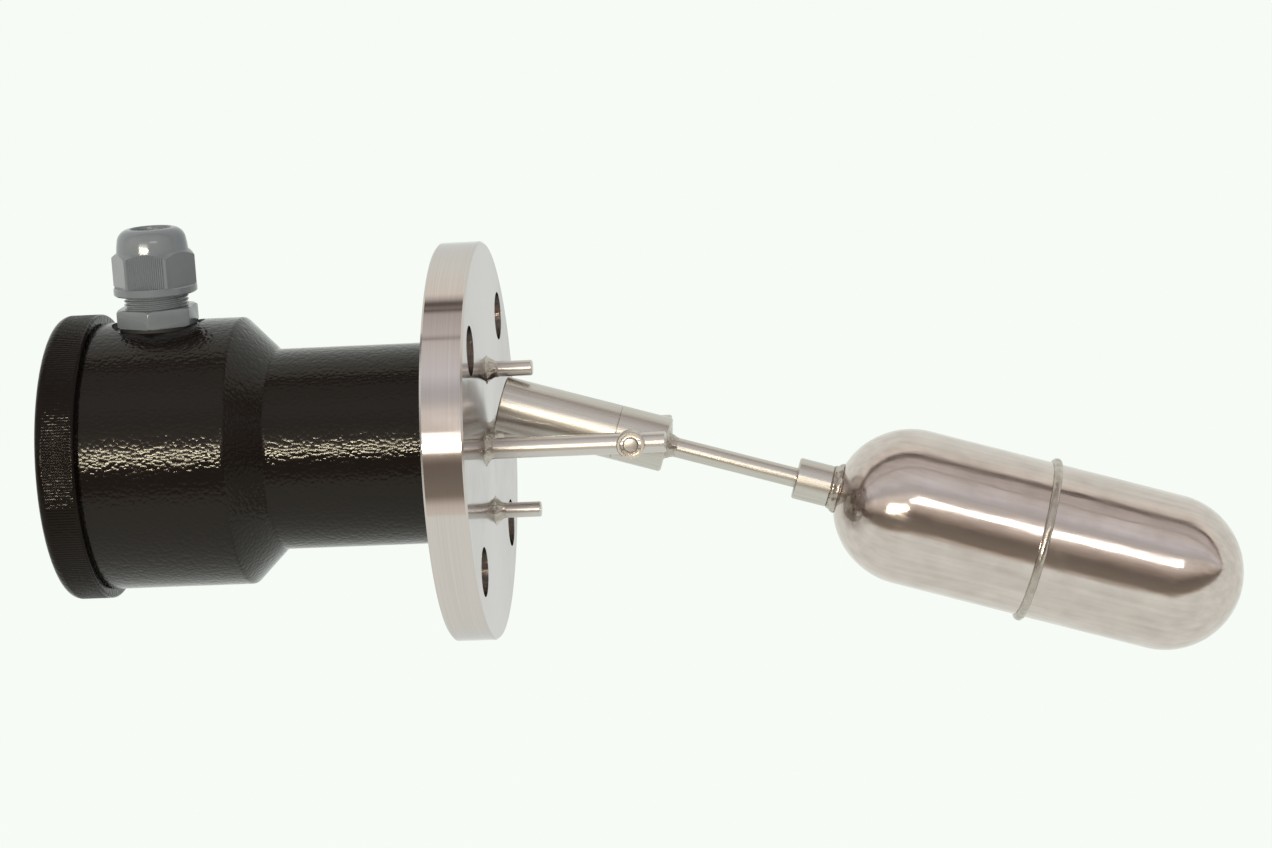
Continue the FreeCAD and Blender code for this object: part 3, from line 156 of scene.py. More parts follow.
def finish_mesh(piece, smooth_angle=30):
    """Leaves edit mode and shades the piece smooth where its faces meet at a small angle."""
    make_active(piece)
    bpy.ops.object.shade_smooth_by_angle(angle=math.radians(smooth_angle))


def place(piece, origin, direction):
    """Turns a piece from Z to a direction, moves it to its origin, and applies both."""
    make_active(piece)
    piece.rotation_mode = "QUATERNION"
    piece.rotation_quaternion = Vector(direction).to_track_quat("Z", "Y")
    piece.location = origin
    bpy.ops.object.transform_apply(location=True, rotation=True, scale=True)


def use_modifier(piece, kind, **settings):
    """Adds one modifier to a piece and applies it."""
    make_active(piece)
    modifier = piece.modifiers.new(kind.lower(), kind)
    for name, value in settings.items():
        setattr(modifier, name, value)
    bpy.ops.object.modifier_apply(modifier=modifier.name)


def roughen(piece, size, depth):
    """Pushes a mesh in and out by a soft cloud, as a hand-laid weld bead is uneven."""
    cloud = bpy.data.textures.new(piece.name + "_cloud", "CLOUDS")
    cloud.noise_scale = size
    cloud.noise_depth = 1
    use_modifier(piece, "DISPLACE", texture=cloud, texture_coords="LOCAL", strength=depth, mid_level=0.5)
    bpy.data.textures.remove(cloud)


def combine(piece, tool, operation):
    """Joins a piece to a second one or trims it by that one, which is then removed."""
    use_modifier(piece, "BOOLEAN", operation=operation, object=tool, solver="EXACT")
    bpy.data.objects.remove(tool)


# ---------------------------------------------------------------- materials


def colour(hex_code):
    """An sRGB hex code as linear red, green, blue and alpha."""
    parts = [int(hex_code[start:start + 2], 16) / 255 for start in (0, 2, 4)]
    linear = [part / 12.92 if part <= 0.04045 else ((part + 0.055) / 1.055) ** 2.4 for part in parts]
    return (*linear, 1.0)


def add(tree, kind, inputs=None, **settings):
    """Adds a node, sets it up, and fills or links its inputs."""
    node = tree.nodes.new(kind)
    for name, value in settings.items():
        setattr(node, name, value)
    for name, value in (inputs or {}).items():
        if isinstance(value, bpy.types.NodeSocket):
            tree.links.new(value, node.inputs[name])
        else:
            node.inputs[name].default_value = value
    return node


def new_finish(name, base, metallic=0.0, roughness=0.5):
    """A material with its base colour set, and its tree, shader and Object coordinates."""
    material = bpy.data.materials.new(name)
    material.use_nodes = True
    tree = material.node_tree
    shader = tree.nodes["Principled BSDF"]
    shader.inputs["Base Color"].default_value = colour(base)
    shader.inputs["Metallic"].default_value = metallic
    shader.inputs["Roughness"].default_value = roughness
    coordinates = add(tree, "ShaderNodeTexCoord").outputs["Object"]
    return material, tree, shader, coordinates


def along_arm(tree, coordinates):
    """Object coordinates turned so that X runs along the float arm."""
    turn = add(tree, "ShaderNodeVectorRotate", {"Vector": coordinates, "Center": ARM_ROOT,
                                                "Axis": (0, 1, 0), "Angle": -ARM_TILT})
    return turn.outputs["Vector"]


def stretched(tree, coordinates, lengths):
    """Coordinates divided by a pattern's size along X, Y and Z, in metres."""
    scale = tuple(1 / length for length in lengths)
    return add(tree, "ShaderNodeMapping", {"Vector": coordinates, "Scale": scale}).outputs["Vector"]


def noise(tree, coordinates, lengths, detail=2.0):
    """A noise whose grains have the given lengths along X, Y and Z, in metres."""
    vector = stretched(tree, coordinates, lengths)
    grains = add(tree, "ShaderNodeTexNoise", {"Vector": vector, "Scale": 1.0, "Detail": detail})
    return grains.outputs["Fac"]


def spread(tree, value, low, high):
    """A noise value carried to a new range."""
    new_range = {"Value": value, "From Min": NOISE_LOW, "From Max": NOISE_HIGH,
                 "To Min": low, "To Max": high}
    return add(tree, "ShaderNodeMapRange", new_range).outputs["Result"]


def tint(tree, value, first, second):
    """A colour between two hex codes by a value."""
    inputs = {"Factor": value, MIX_FIRST: colour(first), MIX_SECOND: colour(second)}
    return add(tree, "ShaderNodeMix", inputs, data_type="RGBA").outputs[MIX_RESULT]


def bump(tree, shader, height, depth, under=None):
    """Raises the surface by a height of the given depth in metres, over an earlier one if given."""
    inputs = {"Height": height, "Distance": depth}
    if under:
        inputs["Normal"] = under
    result = add(tree, "ShaderNodeBump", inputs).outputs["Normal"]
    tree.links.new(result, shader.inputs["Normal"])
    return result


def powder_coat(name, shine):
    """Powder coat on cast aluminium: glossy near-black, pulled into small leathery domes as it cured."""
    material, tree, shader, where = new_finish(name, "15100e", roughness=0.12)
    shader.inputs["Specular IOR Level"].default_value = shine
    shader.inputs["Specular Tint"].default_value = colour("fbf6ea")
    pitch = 1.7 * MM
    rise = 0.12 * MM
    sway = 0.9 * MM
    sway_length = 2 * MM
    drift = add(tree, "ShaderNodeTexNoise", {"Vector": where, "Scale": 1 / sway_length, "Detail": 2.0})
    shifted = add(tree, "ShaderNodeVectorMath", {0: drift.outputs["Color"], 1: (sway,) * 3, 2: where},
                  operation="MULTIPLY_ADD")
    cells = add(tree, "ShaderNodeTexVoronoi", {"Vector": shifted.outputs["Vector"], "Scale": 1 / pitch})
    domes = add(tree, "ShaderNodeMath", {0: cells.outputs["Distance"], 1: 2.0}, operation="POWER")
    sunk = add(tree, "ShaderNodeMath", {0: domes.outputs[0], 1: -1.0}, operation="MULTIPLY")
    bump(tree, shader, sunk.outputs[0], rise)
    patches = noise(tree, where, (9 * MM,) * 3)
    tree.links.new(spread(tree, patches, 0.07, 0.15), shader.inputs["Roughness"])
    return material


def round_the_axis(tree, shader, amount):
    """Draws reflections out across the lathe's rings, which run round the flange's axis."""
    quarter_turn = 0.25
    rings = add(tree, "ShaderNodeTangent", direction_type="RADIAL", axis="X")
    tree.links.new(rings.outputs["Tangent"], shader.inputs["Tangent"])
    shader.inputs["Anisotropic"].default_value = amount
    shader.inputs["Anisotropic Rotation"].default_value = quarter_turn


def turned_stainless():
    """Stainless flange, faced and turned on a lathe: fine rings that draw reflections out sideways."""
    material, tree, shader, where = new_finish("turned_stainless", "cdc9c8", metallic=1.0, roughness=0.2)
    shader.inputs["Specular Tint"].default_value = colour("ebebee")
    round_the_axis(tree, shader, 0.95)
    rings = noise(tree, where, (0.3 * MM, 80 * MM, 80 * MM), detail=1.0)
    bump(tree, shader, rings, 0.004 * MM)
    patches = noise(tree, where, (11 * MM,) * 3, detail=4.0)
    tree.links.new(spread(tree, patches, 0.1, 0.15), shader.inputs["Roughness"])
    tree.links.new(tint(tree, rings, "d4ccc8", "c2b9b4"), shader.inputs["Base Color"])
    return material


def drawn_bar():
    """Bright drawn stainless bar: faint scratches along its length."""
    material, tree, shader, where = new_finish("bright_drawn_stainless", "cbc5c0",
                                               metallic=1.0, roughness=0.24)
    lines = noise(tree, where, (12 * MM, 0.4 * MM, 0.4 * MM), detail=2.0)
    bump(tree, shader, lines, 0.004 * MM)
    tree.links.new(spread(tree, lines, 0.27, 0.38), shader.inputs["Roughness"])
    return material


def faced_steel():
    """Stainless end face, faced on a lathe: satin, with no direction to its grain."""
    material, tree, shader, where = new_finish("faced_stainless", "c2bbb5", metallic=1.0, roughness=0.36)
    grain = noise(tree, where, (0.5 * MM,) * 3, detail=3.0)
    bump(tree, shader, grain, 0.002 * MM)
    tree.links.new(spread(tree, grain, 0.32, 0.42), shader.inputs["Roughness"])
    return material


def brushed_tube():
    """Stainless tube brushed lengthwise with a belt: long thin lines along the arm."""
    material, tree, shader, where = new_finish("belt_brushed_stainless", "c6c2bc",
                                               metallic=1.0, roughness=0.26)
    arm_place = along_arm(tree, where)
    lines = noise(tree, arm_place, (22 * MM, 0.4 * MM, 0.4 * MM), detail=3.0)
    bump(tree, shader, lines, 0.012 * MM)
    tree.links.new(spread(tree, lines, 0.24, 0.4), shader.inputs["Roughness"])
    tree.links.new(tint(tree, lines, "d2cdc7", "b3ada6"), shader.inputs["Base Color"])
    return material


def mirror_steel():
    """Stainless shell spun and buffed bright: clear reflections, cloudy haze, streaks along its length."""
    material, tree, shader, where = new_finish("mirror_polished_stainless", "c2bcba",
                                               metallic=1.0, roughness=0.14)
    arm_place = along_arm(tree, where)
    haze = noise(tree, where, (10 * MM,) * 3, detail=6.0)
    lines = noise(tree, arm_place, (40 * MM, 2.6 * MM, 2.6 * MM), detail=4.0)
    both = add(tree, "ShaderNodeMath", {0: haze, 1: lines}, operation="ADD")
    half = add(tree, "ShaderNodeMath", {0: both.outputs[0], 1: 0.5}, operation="MULTIPLY")
    tree.links.new(spread(tree, half.outputs[0], 0.04, 0.23), shader.inputs["Roughness"])
    waves = noise(tree, arm_place, (26 * MM, 9 * MM, 9 * MM), detail=2.0)
    soft = bump(tree, shader, waves, 0.16 * MM)
    fine = bump(tree, shader, lines, 0.02 * MM, under=soft)
    # A patch dulled and dimpled by the heat of the socket's weld.
    dome_end = ARM_ROOT + ARM * reach("float_inner_half", ARM_ROOT, ARM)[0]
    spot = dome_end + Vector((8, -20, -3.5)) * MM
    patch_edge = 10 * MM
    patch_core = 5.5 * MM
    apart = add(tree, "ShaderNodeVectorMath", {0: where, 1: spot}, operation="DISTANCE")
    near = add(tree, "ShaderNodeMapRange", {"Value": apart.outputs["Value"], "From Min": patch_edge,
                                            "From Max": patch_core, "To Min": 0.0, "To Max": 1.4})
    dimples = noise(tree, where, (3.6 * MM,) * 3, detail=1.0)
    local = add(tree, "ShaderNodeMath", {0: dimples, 1: near.outputs["Result"]}, operation="MULTIPLY")
    bump(tree, shader, local.outputs[0], 0.14 * MM, under=fine)
    cloudy = tint(tree, half.outputs[0], "e4d9d4", "a69a92")
    stained = add(tree, "ShaderNodeMix", {"Factor": local.outputs[0], MIX_FIRST: cloudy,
                                          MIX_SECOND: colour("8a7f76")}, data_type="RGBA")
    tree.links.new(stained.outputs[MIX_RESULT], shader.inputs["Base Color"])
    return material


def weld_metal():
    """Stainless weld bead as laid: rippled, dulled and slightly straw coloured by the heat."""
    material, tree, shader, where = new_finish("as_laid_stainless_weld", "bdb4a6",
                                               metallic=1.0, roughness=0.26)
    ripple = noise(tree, where, (0.9 * MM,) * 3, detail=2.0)
    bump(tree, shader, ripple, 0.03 * MM)
    burn = noise(tree, where, (3.5 * MM,) * 3, detail=2.0)
    tree.links.new(tint(tree, burn, "cbc4be", "958a7c"), shader.inputs["Base Color"])
    tree.links.new(spread(tree, burn, 0.18, 0.38), shader.inputs["Roughness"])
    return material


def moulded_polyamide():
    """Glass-filled polyamide, injection moulded: blue-grey, glossy where the mould was polished."""
    material, tree, shader, where = new_finish("grey_moulded_polyamide", "73797f", roughness=0.22)
    grain = noise(tree, where, (0.6 * MM,) * 3, detail=3.0)
    bump(tree, shader, grain, 0.004 * MM)
    patches = noise(tree, where, (7 * MM,) * 3)
    tree.links.new(tint(tree, patches, "797d81", "6d7175"), shader.inputs["Base Color"])
    tree.links.new(spread(tree, patches, 0.09, 0.2), shader.inputs["Roughness"])
    return material


def black_rubber():
    """Nitrile rubber: matt black with a dusty bloom."""
    material, tree, shader, where = new_finish("black_nitrile_rubber", "191817", roughness=0.62)
    dust = noise(tree, where, (2 * MM,) * 3, detail=4.0)
    tree.links.new(tint(tree, dust, "141313", "262422"), shader.inputs["Base Color"])
    bump(tree, shader, dust, 0.05 * MM)
    return material


def plain_finish(name, tints, metallic, roughness, grain_mm):
    """A finish for the hidden switch parts: two close colours and a grain of the given size."""
    material, tree, shader, where = new_finish(name, tints[0], metallic, roughness)
    grain = noise(tree, where, (grain_mm * MM,) * 3, detail=3.0)
    tree.links.new(tint(tree, grain, *tints), shader.inputs["Base Color"])
    tree.links.new(spread(tree, grain, roughness - 0.06, roughness + 0.08), shader.inputs["Roughness"])
    bump(tree, shader, grain, 0.02 * MM)
    return material


finishes = {
    "coat": powder_coat("black_powder_coat", shine=0.24),
    # The same coat on the screw cap, dulled by hands.
    "cap_coat": powder_coat("handled_black_powder_coat", shine=0.1),
    "flange": turned_stainless(),
    "bar": drawn_bar(),
    "tube": brushed_tube(),
    "face": faced_steel(),
    "mirror": mirror_steel(),
    "weld": weld_metal(),
    "gland": moulded_polyamide(),
    "rubber": black_rubber(),
    # Bright zinc plate: bluish grey with a fine crystalline sparkle.
    "zinc": plain_finish("bright_zinc_plate", ("b9bcbe", "a5a9ad"), 1.0, 0.32, 1.2),
    # Cast magnet alloy: dark grey, granular and a little shiny.
    "magnet": plain_finish("cast_magnet_alloy", ("5b5a58", "474644"), 1.0, 0.5, 0.8),
    # Black moulded plastic: satin with a fine grain.
    "plastic": plain_finish("black_moulded_plastic", ("232323", "1b1b1c"), 0.0, 0.42, 0.6),
    # Phenolic moulding of the snap switch: warm dark brown.
    "phenolic": plain_finish("brown_phenolic_moulding", ("2d2320", "231b19"), 0.0, 0.38, 0.7),
    # Rolled brass of the terminals: yellow with a brownish tarnish.
    "brass": plain_finish("rolled_brass", ("c8a862", "a98a4c"), 1.0, 0.3, 1.0),
}

node_finishes = {
    "coat": ["housing"],
    "cap_coat": ["cap"],
    "flange": ["flange"],
    "bar": ["pivot_bar_near", "pivot_bar_far", "pivot_pin", "upper_stop_pin", "lower_stop_pin",
            "lever_pin", "snap_switch_blade"],
    "tube": ["magnet_tube", "tube_cap", "end_plug", "float_rod", "float_socket"],
    "mirror": ["float_inner_half", "float_outer_half"],
    "weld": ["bar_welds", "stop_welds", "rod_weld", "socket_weld", "seam_weld"],
    "gland": ["gland_body", "gland_nut", "gland_claws"],
    "rubber": ["neck_seal", "cap_gasket", "gland_washer", "gland_seal"],
    "zinc": ["housing_screws", "switch_chassis", "lever_clip", "snap_switch_screws", "block_screws",
             "earth_screw"],
    "magnet": ["float_magnet", "switch_magnet"],
    "plastic": ["magnet_spacer", "magnet_lever", "snap_switch_plunger", "terminal_block"],
    "phenolic": ["snap_switch_case"],
    "brass": ["snap_switch_tabs", "terminal_screws"],
}


def give(piece, finish):
    """Puts one finish on all of a piece."""
    piece.data.materials.clear()
    piece.data.materials.append(finishes[finish])


for finish_name, node_names in node_finishes.items():
    for node_name in node_names:
        give(frame["nodes"][node_name], finish_name)


def dress(piece, finish, body, slot_name, *stands_for):
    """Gives a finished piece its finish and its body, and hides the CAD nodes that it stands for. The slot
    name is not used.
    """
    give(piece, finish)
    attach(piece, body)
    if stands_for:
        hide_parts(*stands_for)


# ---------------------------------------------------------------- the cap with its knurled rim

KNURL_COUNT = 300          # straight teeth round the cap's rim, about 1.2 mm apart
KNURL_DEPTH = 0.2 * MM


def build_cap():
    """The screw cap: a domed end, a rounded corner, a straight-knurled rim and a plain lip."""
    low, high, rim = reach("cap", ORIGIN, AXIS)
    thread_depth = 1.2 * MM
    bore = reach("housing", ORIGIN, AXIS)[2] - thread_depth
    wall = 5.6 * MM
    dome = 3.5 * MM
    corner = 3.2 * MM
    rim_bend = 1.0 * MM
    fade = 0.4 * MM
    steps = 8
    flat = rim - corner
    shoulder = low + dome + corner
    outline = [(low, 0.0)]
    for step in range(1, steps):
        share = step / steps
        outline.append((low + dome * share ** 2, flat * share))
    outline += arc(shoulder, flat, corner, -80, 0)
    outline += [(shoulder + fade, rim), (high - rim_bend - fade, rim)]
    outline += arc(high - rim_bend, rim - rim_bend, rim_bend, 0, 90, steps=4)
    outline += [(high, bore), (low + dome + wall, bore), (low + dome + wall, 0.0)]
    cap = turned("screw_cap_knurled", outline, sides=4 * KNURL_COUNT)
    tooth = FULL_TURN / KNURL_COUNT
    half_side = 1 / 8          # half of one of a tooth's four sides, as a share of the tooth

    def in_groove(spot):
        share_of_tooth = (math.atan2(spot.y, spot.x) / tooth + half_side) % 1.0
        on_rim = math.hypot(spot.x, spot.y) > rim - 0.05 * MM
        on_knurl = shoulder + fade / 2 < spot.z < high - rim_bend - fade / 2
        return on_rim and on_knurl and share_of_tooth < 0.5

    choose(cap, in_groove)
    sink = (rim - KNURL_DEPTH) / rim
    bpy.ops.transform.resize(value=(sink, sink, 1), center_override=(0, 0, 0))
    finish_mesh(cap, smooth_angle=32)
    place(cap, ORIGIN, AXIS)
    dress(cap, "cap_coat", "screw_cap", "black_coat", "cap")


# ---------------------------------------------------------------- the cable gland

GLAND_FLATS = 28.5 * MM
HEX_CORNER = GLAND_FLATS / math.sqrt(3)
RIBS = 20                  # ribs on each face of the nut, 0.82 mm apart
RIB_DEPTH = 0.4 * MM


def hex_prism(name, low, turn=0, cuts=0):
    """The outline of a hexagonal bar round Z, its sides cut into short edges where ribs follow."""
    clear_selection()
    bpy.ops.mesh.primitive_circle_add(vertices=6, radius=HEX_CORNER, location=(0, 0, low),
                                      rotation=(0, 0, math.radians(turn)))
    piece = start_editing(name)
    if cuts:
        bpy.ops.mesh.subdivide(number_cuts=cuts)
    return piece


def raise_prism(piece, low, high):
    """Raises a ring of edges to its height and closes both ends toward the middle."""
    bpy.ops.mesh.select_all(action="SELECT")
    bpy.ops.mesh.extrude_region_move(TRANSFORM_OT_translate={"value": (0, 0, high - low)})
    for end in (high, low):
        choose(piece, lambda spot: abs(spot.z - end) < 0.01 * MM)
        bpy.ops.mesh.extrude_region_move()
        bpy.ops.mesh.merge(type="CENTER")
    bpy.ops.mesh.select_all(action="SELECT")
    bpy.ops.mesh.normals_make_consistent(inside=False)
    clear_selection()


def build_gland_nut():
    """The dome nut: a hexagon, ribbed on every second face, under a smooth dome and on a round skirt."""
    low, high, _ = reach("gland_nut", GLAND_FOOT, UP)
    skirt = 3.2 * MM
    skirt_radius = 16.2 * MM
    shoulder = high - 9.3 * MM
    dome_radius = 13.9 * MM
    dome_bend = 5.2 * MM
    mouth = 7.75 * MM
    lip = 0.5 * MM
    bore = 12.9 * MM
    chamfer = 2.2 * MM
    dome_foot = shoulder + 3 * MM
    bore_end = shoulder + 4 * MM
    spare = 1 * MM             # the prism's extra length at both ends, trimmed off by the envelope
    plain = 0.5 * MM           # left unribbed beside each corner
    sixth_turn = math.radians(60)
    nut = hex_prism("gland_nut_ribbed", low - spare, turn=30, cuts=2 * RIBS - 1)
    step = HEX_CORNER / (2 * RIBS)

    def in_groove(spot):
        face = math.floor(math.atan2(spot.y, spot.x) / sixth_turn)
        facing = sixth_turn * face + math.radians(30)
        across = -spot.x * math.sin(facing) + spot.y * math.cos(facing)
        ribbed = face % 2 == 1 and abs(across) < HEX_CORNER / 2 - plain
        return ribbed and round(across / step) % 2 == 1

    choose(nut, in_groove)
    sink = (GLAND_FLATS / 2 - RIB_DEPTH) / (GLAND_FLATS / 2)
    bpy.ops.transform.resize(value=(sink, sink, 1), center_override=(0, 0, low))
    raise_prism(nut, low - spare, high + spare)
    outline = [(low, bore), (low, skirt_radius - lip), (low + skirt, skirt_radius - lip / 2),
               (low + skirt + lip, HEX_CORNER + lip), (shoulder - chamfer, HEX_CORNER + lip),
               (shoulder, dome_radius + lip), (shoulder + lip, dome_radius),
               (dome_foot, dome_radius - lip / 2)]
    outline += arc(high - dome_bend, dome_radius - lip - dome_bend, dome_bend, 5, 90, steps=10)
    outline += [(high, mouth + lip), (high - lip / 3, mouth + lip / 3), (high - lip, mouth)]
    outline += [(bore_end, mouth), (shoulder, bore), (low, bore)]
    envelope = turned("gland_nut_envelope", outline, sides=144)
    combine(nut, envelope, "INTERSECT")
    ring = [(low, bore), (low, skirt_radius - lip), (low + lip, skirt_radius),
            (low + skirt - lip, skirt_radius), (low + skirt, skirt_radius - lip),
            (low + skirt, bore), (low, bore)]
    skirt_ring = turned("gland_nut_skirt", ring, sides=144)
    combine(nut, skirt_ring, "UNION")
    finish_mesh(nut, smooth_angle=28)
    place(nut, GLAND_FOOT, UP)
    dress(nut, "gland", "cable_nut", "gland_plastic", "gland_nut")


def build_gland_body():
    """The gland's bevelled lower hexagon, the threaded neck above it and the plain tail below."""
    base, top, _ = reach("gland_body", GLAND_FOOT, UP)
    washer_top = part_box("gland_washer")[1].z
    hex_top = washer_top + 7.1 * MM
    nut_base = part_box("gland_nut")[0].z
    root = 11.7 * MM
    crest = 12.5 * MM
    passage = 8.0 * MM
    pitch = 1.5 * MM
    neck_bevel = 0.5 * MM
    tail_radius = crest - 0.3 * MM
    corner = HEX_CORNER - 0.1 * MM
    body = hex_prism("gland_lower_hexagon", washer_top)
    raise_prism(body, washer_top, hex_top)
    bevelled = [(washer_top, passage), (washer_top, HEX_CORNER - 0.9 * MM), (washer_top + 0.5 * MM, corner),
                (hex_top - 0.7 * MM, corner), (hex_top, HEX_CORNER - 1.3 * MM), (hex_top, passage),
                (washer_top, passage)]
    combine(body, turned("gland_hex_trim", bevelled), "INTERSECT")
    use_modifier(body, "BEVEL", width=0.25 * MM, segments=2, limit_method="ANGLE",
                 angle_limit=math.radians(40))
    finish_mesh(body, smooth_angle=35)
    place(body, GLAND_FOOT, UP)
    dress(body, "gland", "switch_body", "gland_plastic", "gland_body")
    neck = turned("gland_threaded_neck", [(hex_top, passage), (hex_top, root), (top - neck_bevel, root),
                                          (top, root - neck_bevel), (top, passage), (hex_top, passage)])
    finish_mesh(neck)
    place(neck, GLAND_FOOT, UP)
    dress(neck, "gland", "switch_body", "gland_plastic")
    tail = turned("gland_tail", [(base, passage), (base, tail_radius), (washer_top, tail_radius),
                                 (washer_top, passage), (base, passage)])
    finish_mesh(tail)
    place(tail, GLAND_FOOT, UP)
    dress(tail, "gland", "switch_body", "gland_plastic")
    clear_selection()
    bpy.ops.mesh.primitive_plane_add(size=1)
    thread = start_editing("gland_neck_thread")
    bpy.ops.mesh.merge(type="CENTER")
    half = pitch / 2
    overlap = 0.3 * MM
    bpy.ops.transform.translate(value=(root - overlap, 0, hex_top - half))
    for step in [(overlap, 0, half * 0.2), (crest - root, 0, half * 0.6), (0, 0, half * 0.4),
                 (root - crest, 0, half * 0.6), (-overlap, 0, half * 0.2)]:
        bpy.ops.mesh.extrude_region_move(TRANSFORM_OT_translate={"value": step})
    turns = math.ceil((nut_base - hex_top) / pitch) + 1
    use_modifier(thread, "SCREW", axis="Z", screw_offset=pitch, iterations=turns, steps=64, render_steps=64,
                 use_normal_calculate=True)
    finish_mesh(thread, smooth_angle=50)
    place(thread, GLAND_FOOT, UP)
    dress(thread, "gland", "switch_body", "gland_plastic")


# ---------------------------------------------------------------- bars, pins and the arm


def build_round(name, node, origin, direction, edges, finish, body, slot_name, hole=0.0, sides=96):
    """A round bar or tube with chamfered ends, as long and as thick as its CAD node."""
    low, high, radius = reach(node, origin, direction)
    first, last = edges
    outline = [(low, hole), (low, radius - first), (low + first, radius), (high - last, radius),
               (high, radius - last), (high, hole)]
    if hole:
        outline.append((low, hole))
    piece = turned(name, outline, sides=sides)
    finish_mesh(piece)
    place(piece, origin, direction)
    dress(piece, finish, body, slot_name, node)


def build_pivot_bar(side_name, side):
    """A pivot bar with the pin's boss on its outer side, counterbored round the pin."""
    node = "pivot_bar_" + side_name
    low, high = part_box(node)
    boss_rise = max(abs(low.y), abs(high.y)) - BAR_LINE
    boss_radius = 5.4 * MM
    recess = 4.0 * MM
    recess_bevel = 0.2 * MM
    recess_floor = boss_rise - 1.6 * MM
    round_over = 0.4 * MM
    bevel = 0.5 * MM
    length = high.x - low.x
    bar = turned("pivot_bar_" + side_name + "_bossed",
                 [(0, 0), (0, BAR_RADIUS), (length - bevel, BAR_RADIUS), (length, BAR_RADIUS - bevel),
                  (length, 0)], sides=72)
    finish_mesh(bar)
    place(bar, (low.x, side * BAR_LINE, PIVOT.z), AXIS)
    boss = turned("boss", [(0, 0), (0, boss_radius), (boss_rise - round_over, boss_radius),
                           (boss_rise, boss_radius - round_over), (boss_rise, recess + recess_bevel),
                           (recess_floor, recess), (recess_floor, 0)], sides=72)
    finish_mesh(boss)
    place(boss, (PIVOT.x, side * BAR_LINE, PIVOT.z), (0, side, 0))
    combine(bar, boss, "UNION")
    finish_mesh(bar)
    dress(bar, "bar", "switch_body", "stainless", node)
    bar.data.materials.append(finishes["face"])
    for polygon in bar.data.polygons:
        beyond_bar = polygon.center.y * side > BAR_LINE + BAR_RADIUS * 0.9
        if beyond_bar and abs(polygon.normal.y) > 0.97:
            polygon.material_index = 1


def build_pivot_pin():
    """The pivot pin, its ends slightly domed and chamfered."""
    low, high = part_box("pivot_pin")
    half = (high.y - low.y) / 2
    radius = (high.x - low.x) / 2
    edge = 0.5 * MM
    dome = 0.25 * MM
    outline = [(-half, 0), (-half + dome / 3, radius / 2), (-half + dome, radius - edge),
               (-half + dome + edge, radius), (half - dome - edge, radius), (half - dome, radius - edge),
               (half - dome / 3, radius / 2), (half, 0)]
    pin = turned("pivot_pin_domed", outline, sides=48)
    finish_mesh(pin)
    place(pin, middle("pivot_pin"), (0, 1, 0))
    dress(pin, "face", "switch_body", "stainless", "pivot_pin")


def fillet_bead(name, foot, leg, climb, radius, lumps, origin, direction, body, *stands_for):
    """A hand-laid fillet weld round a bar: hollow in section, uneven along its length."""
    root_depth = 0.4 * MM
    lump_depth = 0.8 * MM
    hollow = 1.6
    fullness = 0.35
    steps = 8
    inside = radius - root_depth
    outline = [(foot - root_depth, inside), (foot - root_depth, radius + leg)]
    for step in range(steps + 1):
        share = step / steps
        rest = 1 - share
        swell = fullness * math.sin(math.pi * share)
        outline.append((foot + climb * (share ** hollow * (1 - swell) + share * swell),
                        radius + leg * (rest ** hollow * (1 - swell) + rest * swell)))
    outline += [(foot + climb, inside), (foot - root_depth, inside)]
    bead = turned(name, outline)
    place(bead, origin, direction)
    roughen(bead, lumps, lump_depth)
    finish_mesh(bead, smooth_angle=80)
    dress(bead, "weld", body, "weld", *stands_for)


def build_flange_welds():
    """The four fillet welds on the flange: two round the bars and two round the stop pins."""
    face = 0.0
    bar_leg, bar_climb = 2.6 * MM, 3.2 * MM
    pin_leg, pin_climb = 2.8 * MM, 4.4 * MM
    fillet_bead("bar_weld_near", face, bar_leg, bar_climb, BAR_RADIUS, 2.2 * MM,
                (0, -BAR_LINE, PIVOT.z), AXIS, "switch_body", "bar_welds")
    fillet_bead("bar_weld_far", face, bar_leg, bar_climb, BAR_RADIUS, 2.4 * MM,
                (0, BAR_LINE, PIVOT.z), AXIS, "switch_body")
    for name in ("upper", "lower"):
        spot = middle(name + "_stop_pin")
        stands_for = ["stop_welds"] if name == "upper" else []
        fillet_bead("stop_weld_" + name, face, pin_leg, pin_climb, STOP_PIN_RADIUS, 2.0 * MM,
                    (0, spot.y, spot.z), AXIS, "switch_body", *stands_for)


def build_arm():
    """The magnet tube, its plug, the rod with its weld, and the float's socket, with chamfered ends."""
    build_round("magnet_tube_brushed", "magnet_tube", ARM_ROOT, ARM, (0.5 * MM, 0.2 * MM), "tube",
                "float_arm", "stainless", hole=8.7 * MM)
    _, high, radius = reach("end_plug", ARM_ROOT, ARM)
    seat = reach("magnet_tube", ARM_ROOT, ARM)[1]
    rod = reach("float_rod", ARM_ROOT, ARM)[2]
    seat_bevel = 0.2 * MM
    nose_bevel = 0.7 * MM
    plug = turned("end_plug_turned", [(seat, rod), (seat, radius - seat_bevel), (seat + seat_bevel, radius),
                                      (high - nose_bevel, radius), (high, radius - nose_bevel), (high, rod),
                                      (seat, rod)])
    finish_mesh(plug)
    place(plug, ARM_ROOT, ARM)
    dress(plug, "tube", "float_arm", "stainless", "end_plug")
    build_round("float_rod_polished", "float_rod", ARM_ROOT, ARM, (0.1 * MM, 0.1 * MM), "tube",
                "float_arm", "polished_stainless", sides=64)
    build_round("float_socket_turned", "float_socket", ARM_ROOT, ARM, (0.5 * MM, 0.5 * MM), "tube",
                "float_arm", "polished_stainless")
    leg, climb = 1.7 * MM, 4.0 * MM
    fillet_bead("rod_root_weld", high, leg, climb, rod, 1.8 * MM, ARM_ROOT, ARM, "float_arm", "rod_weld")


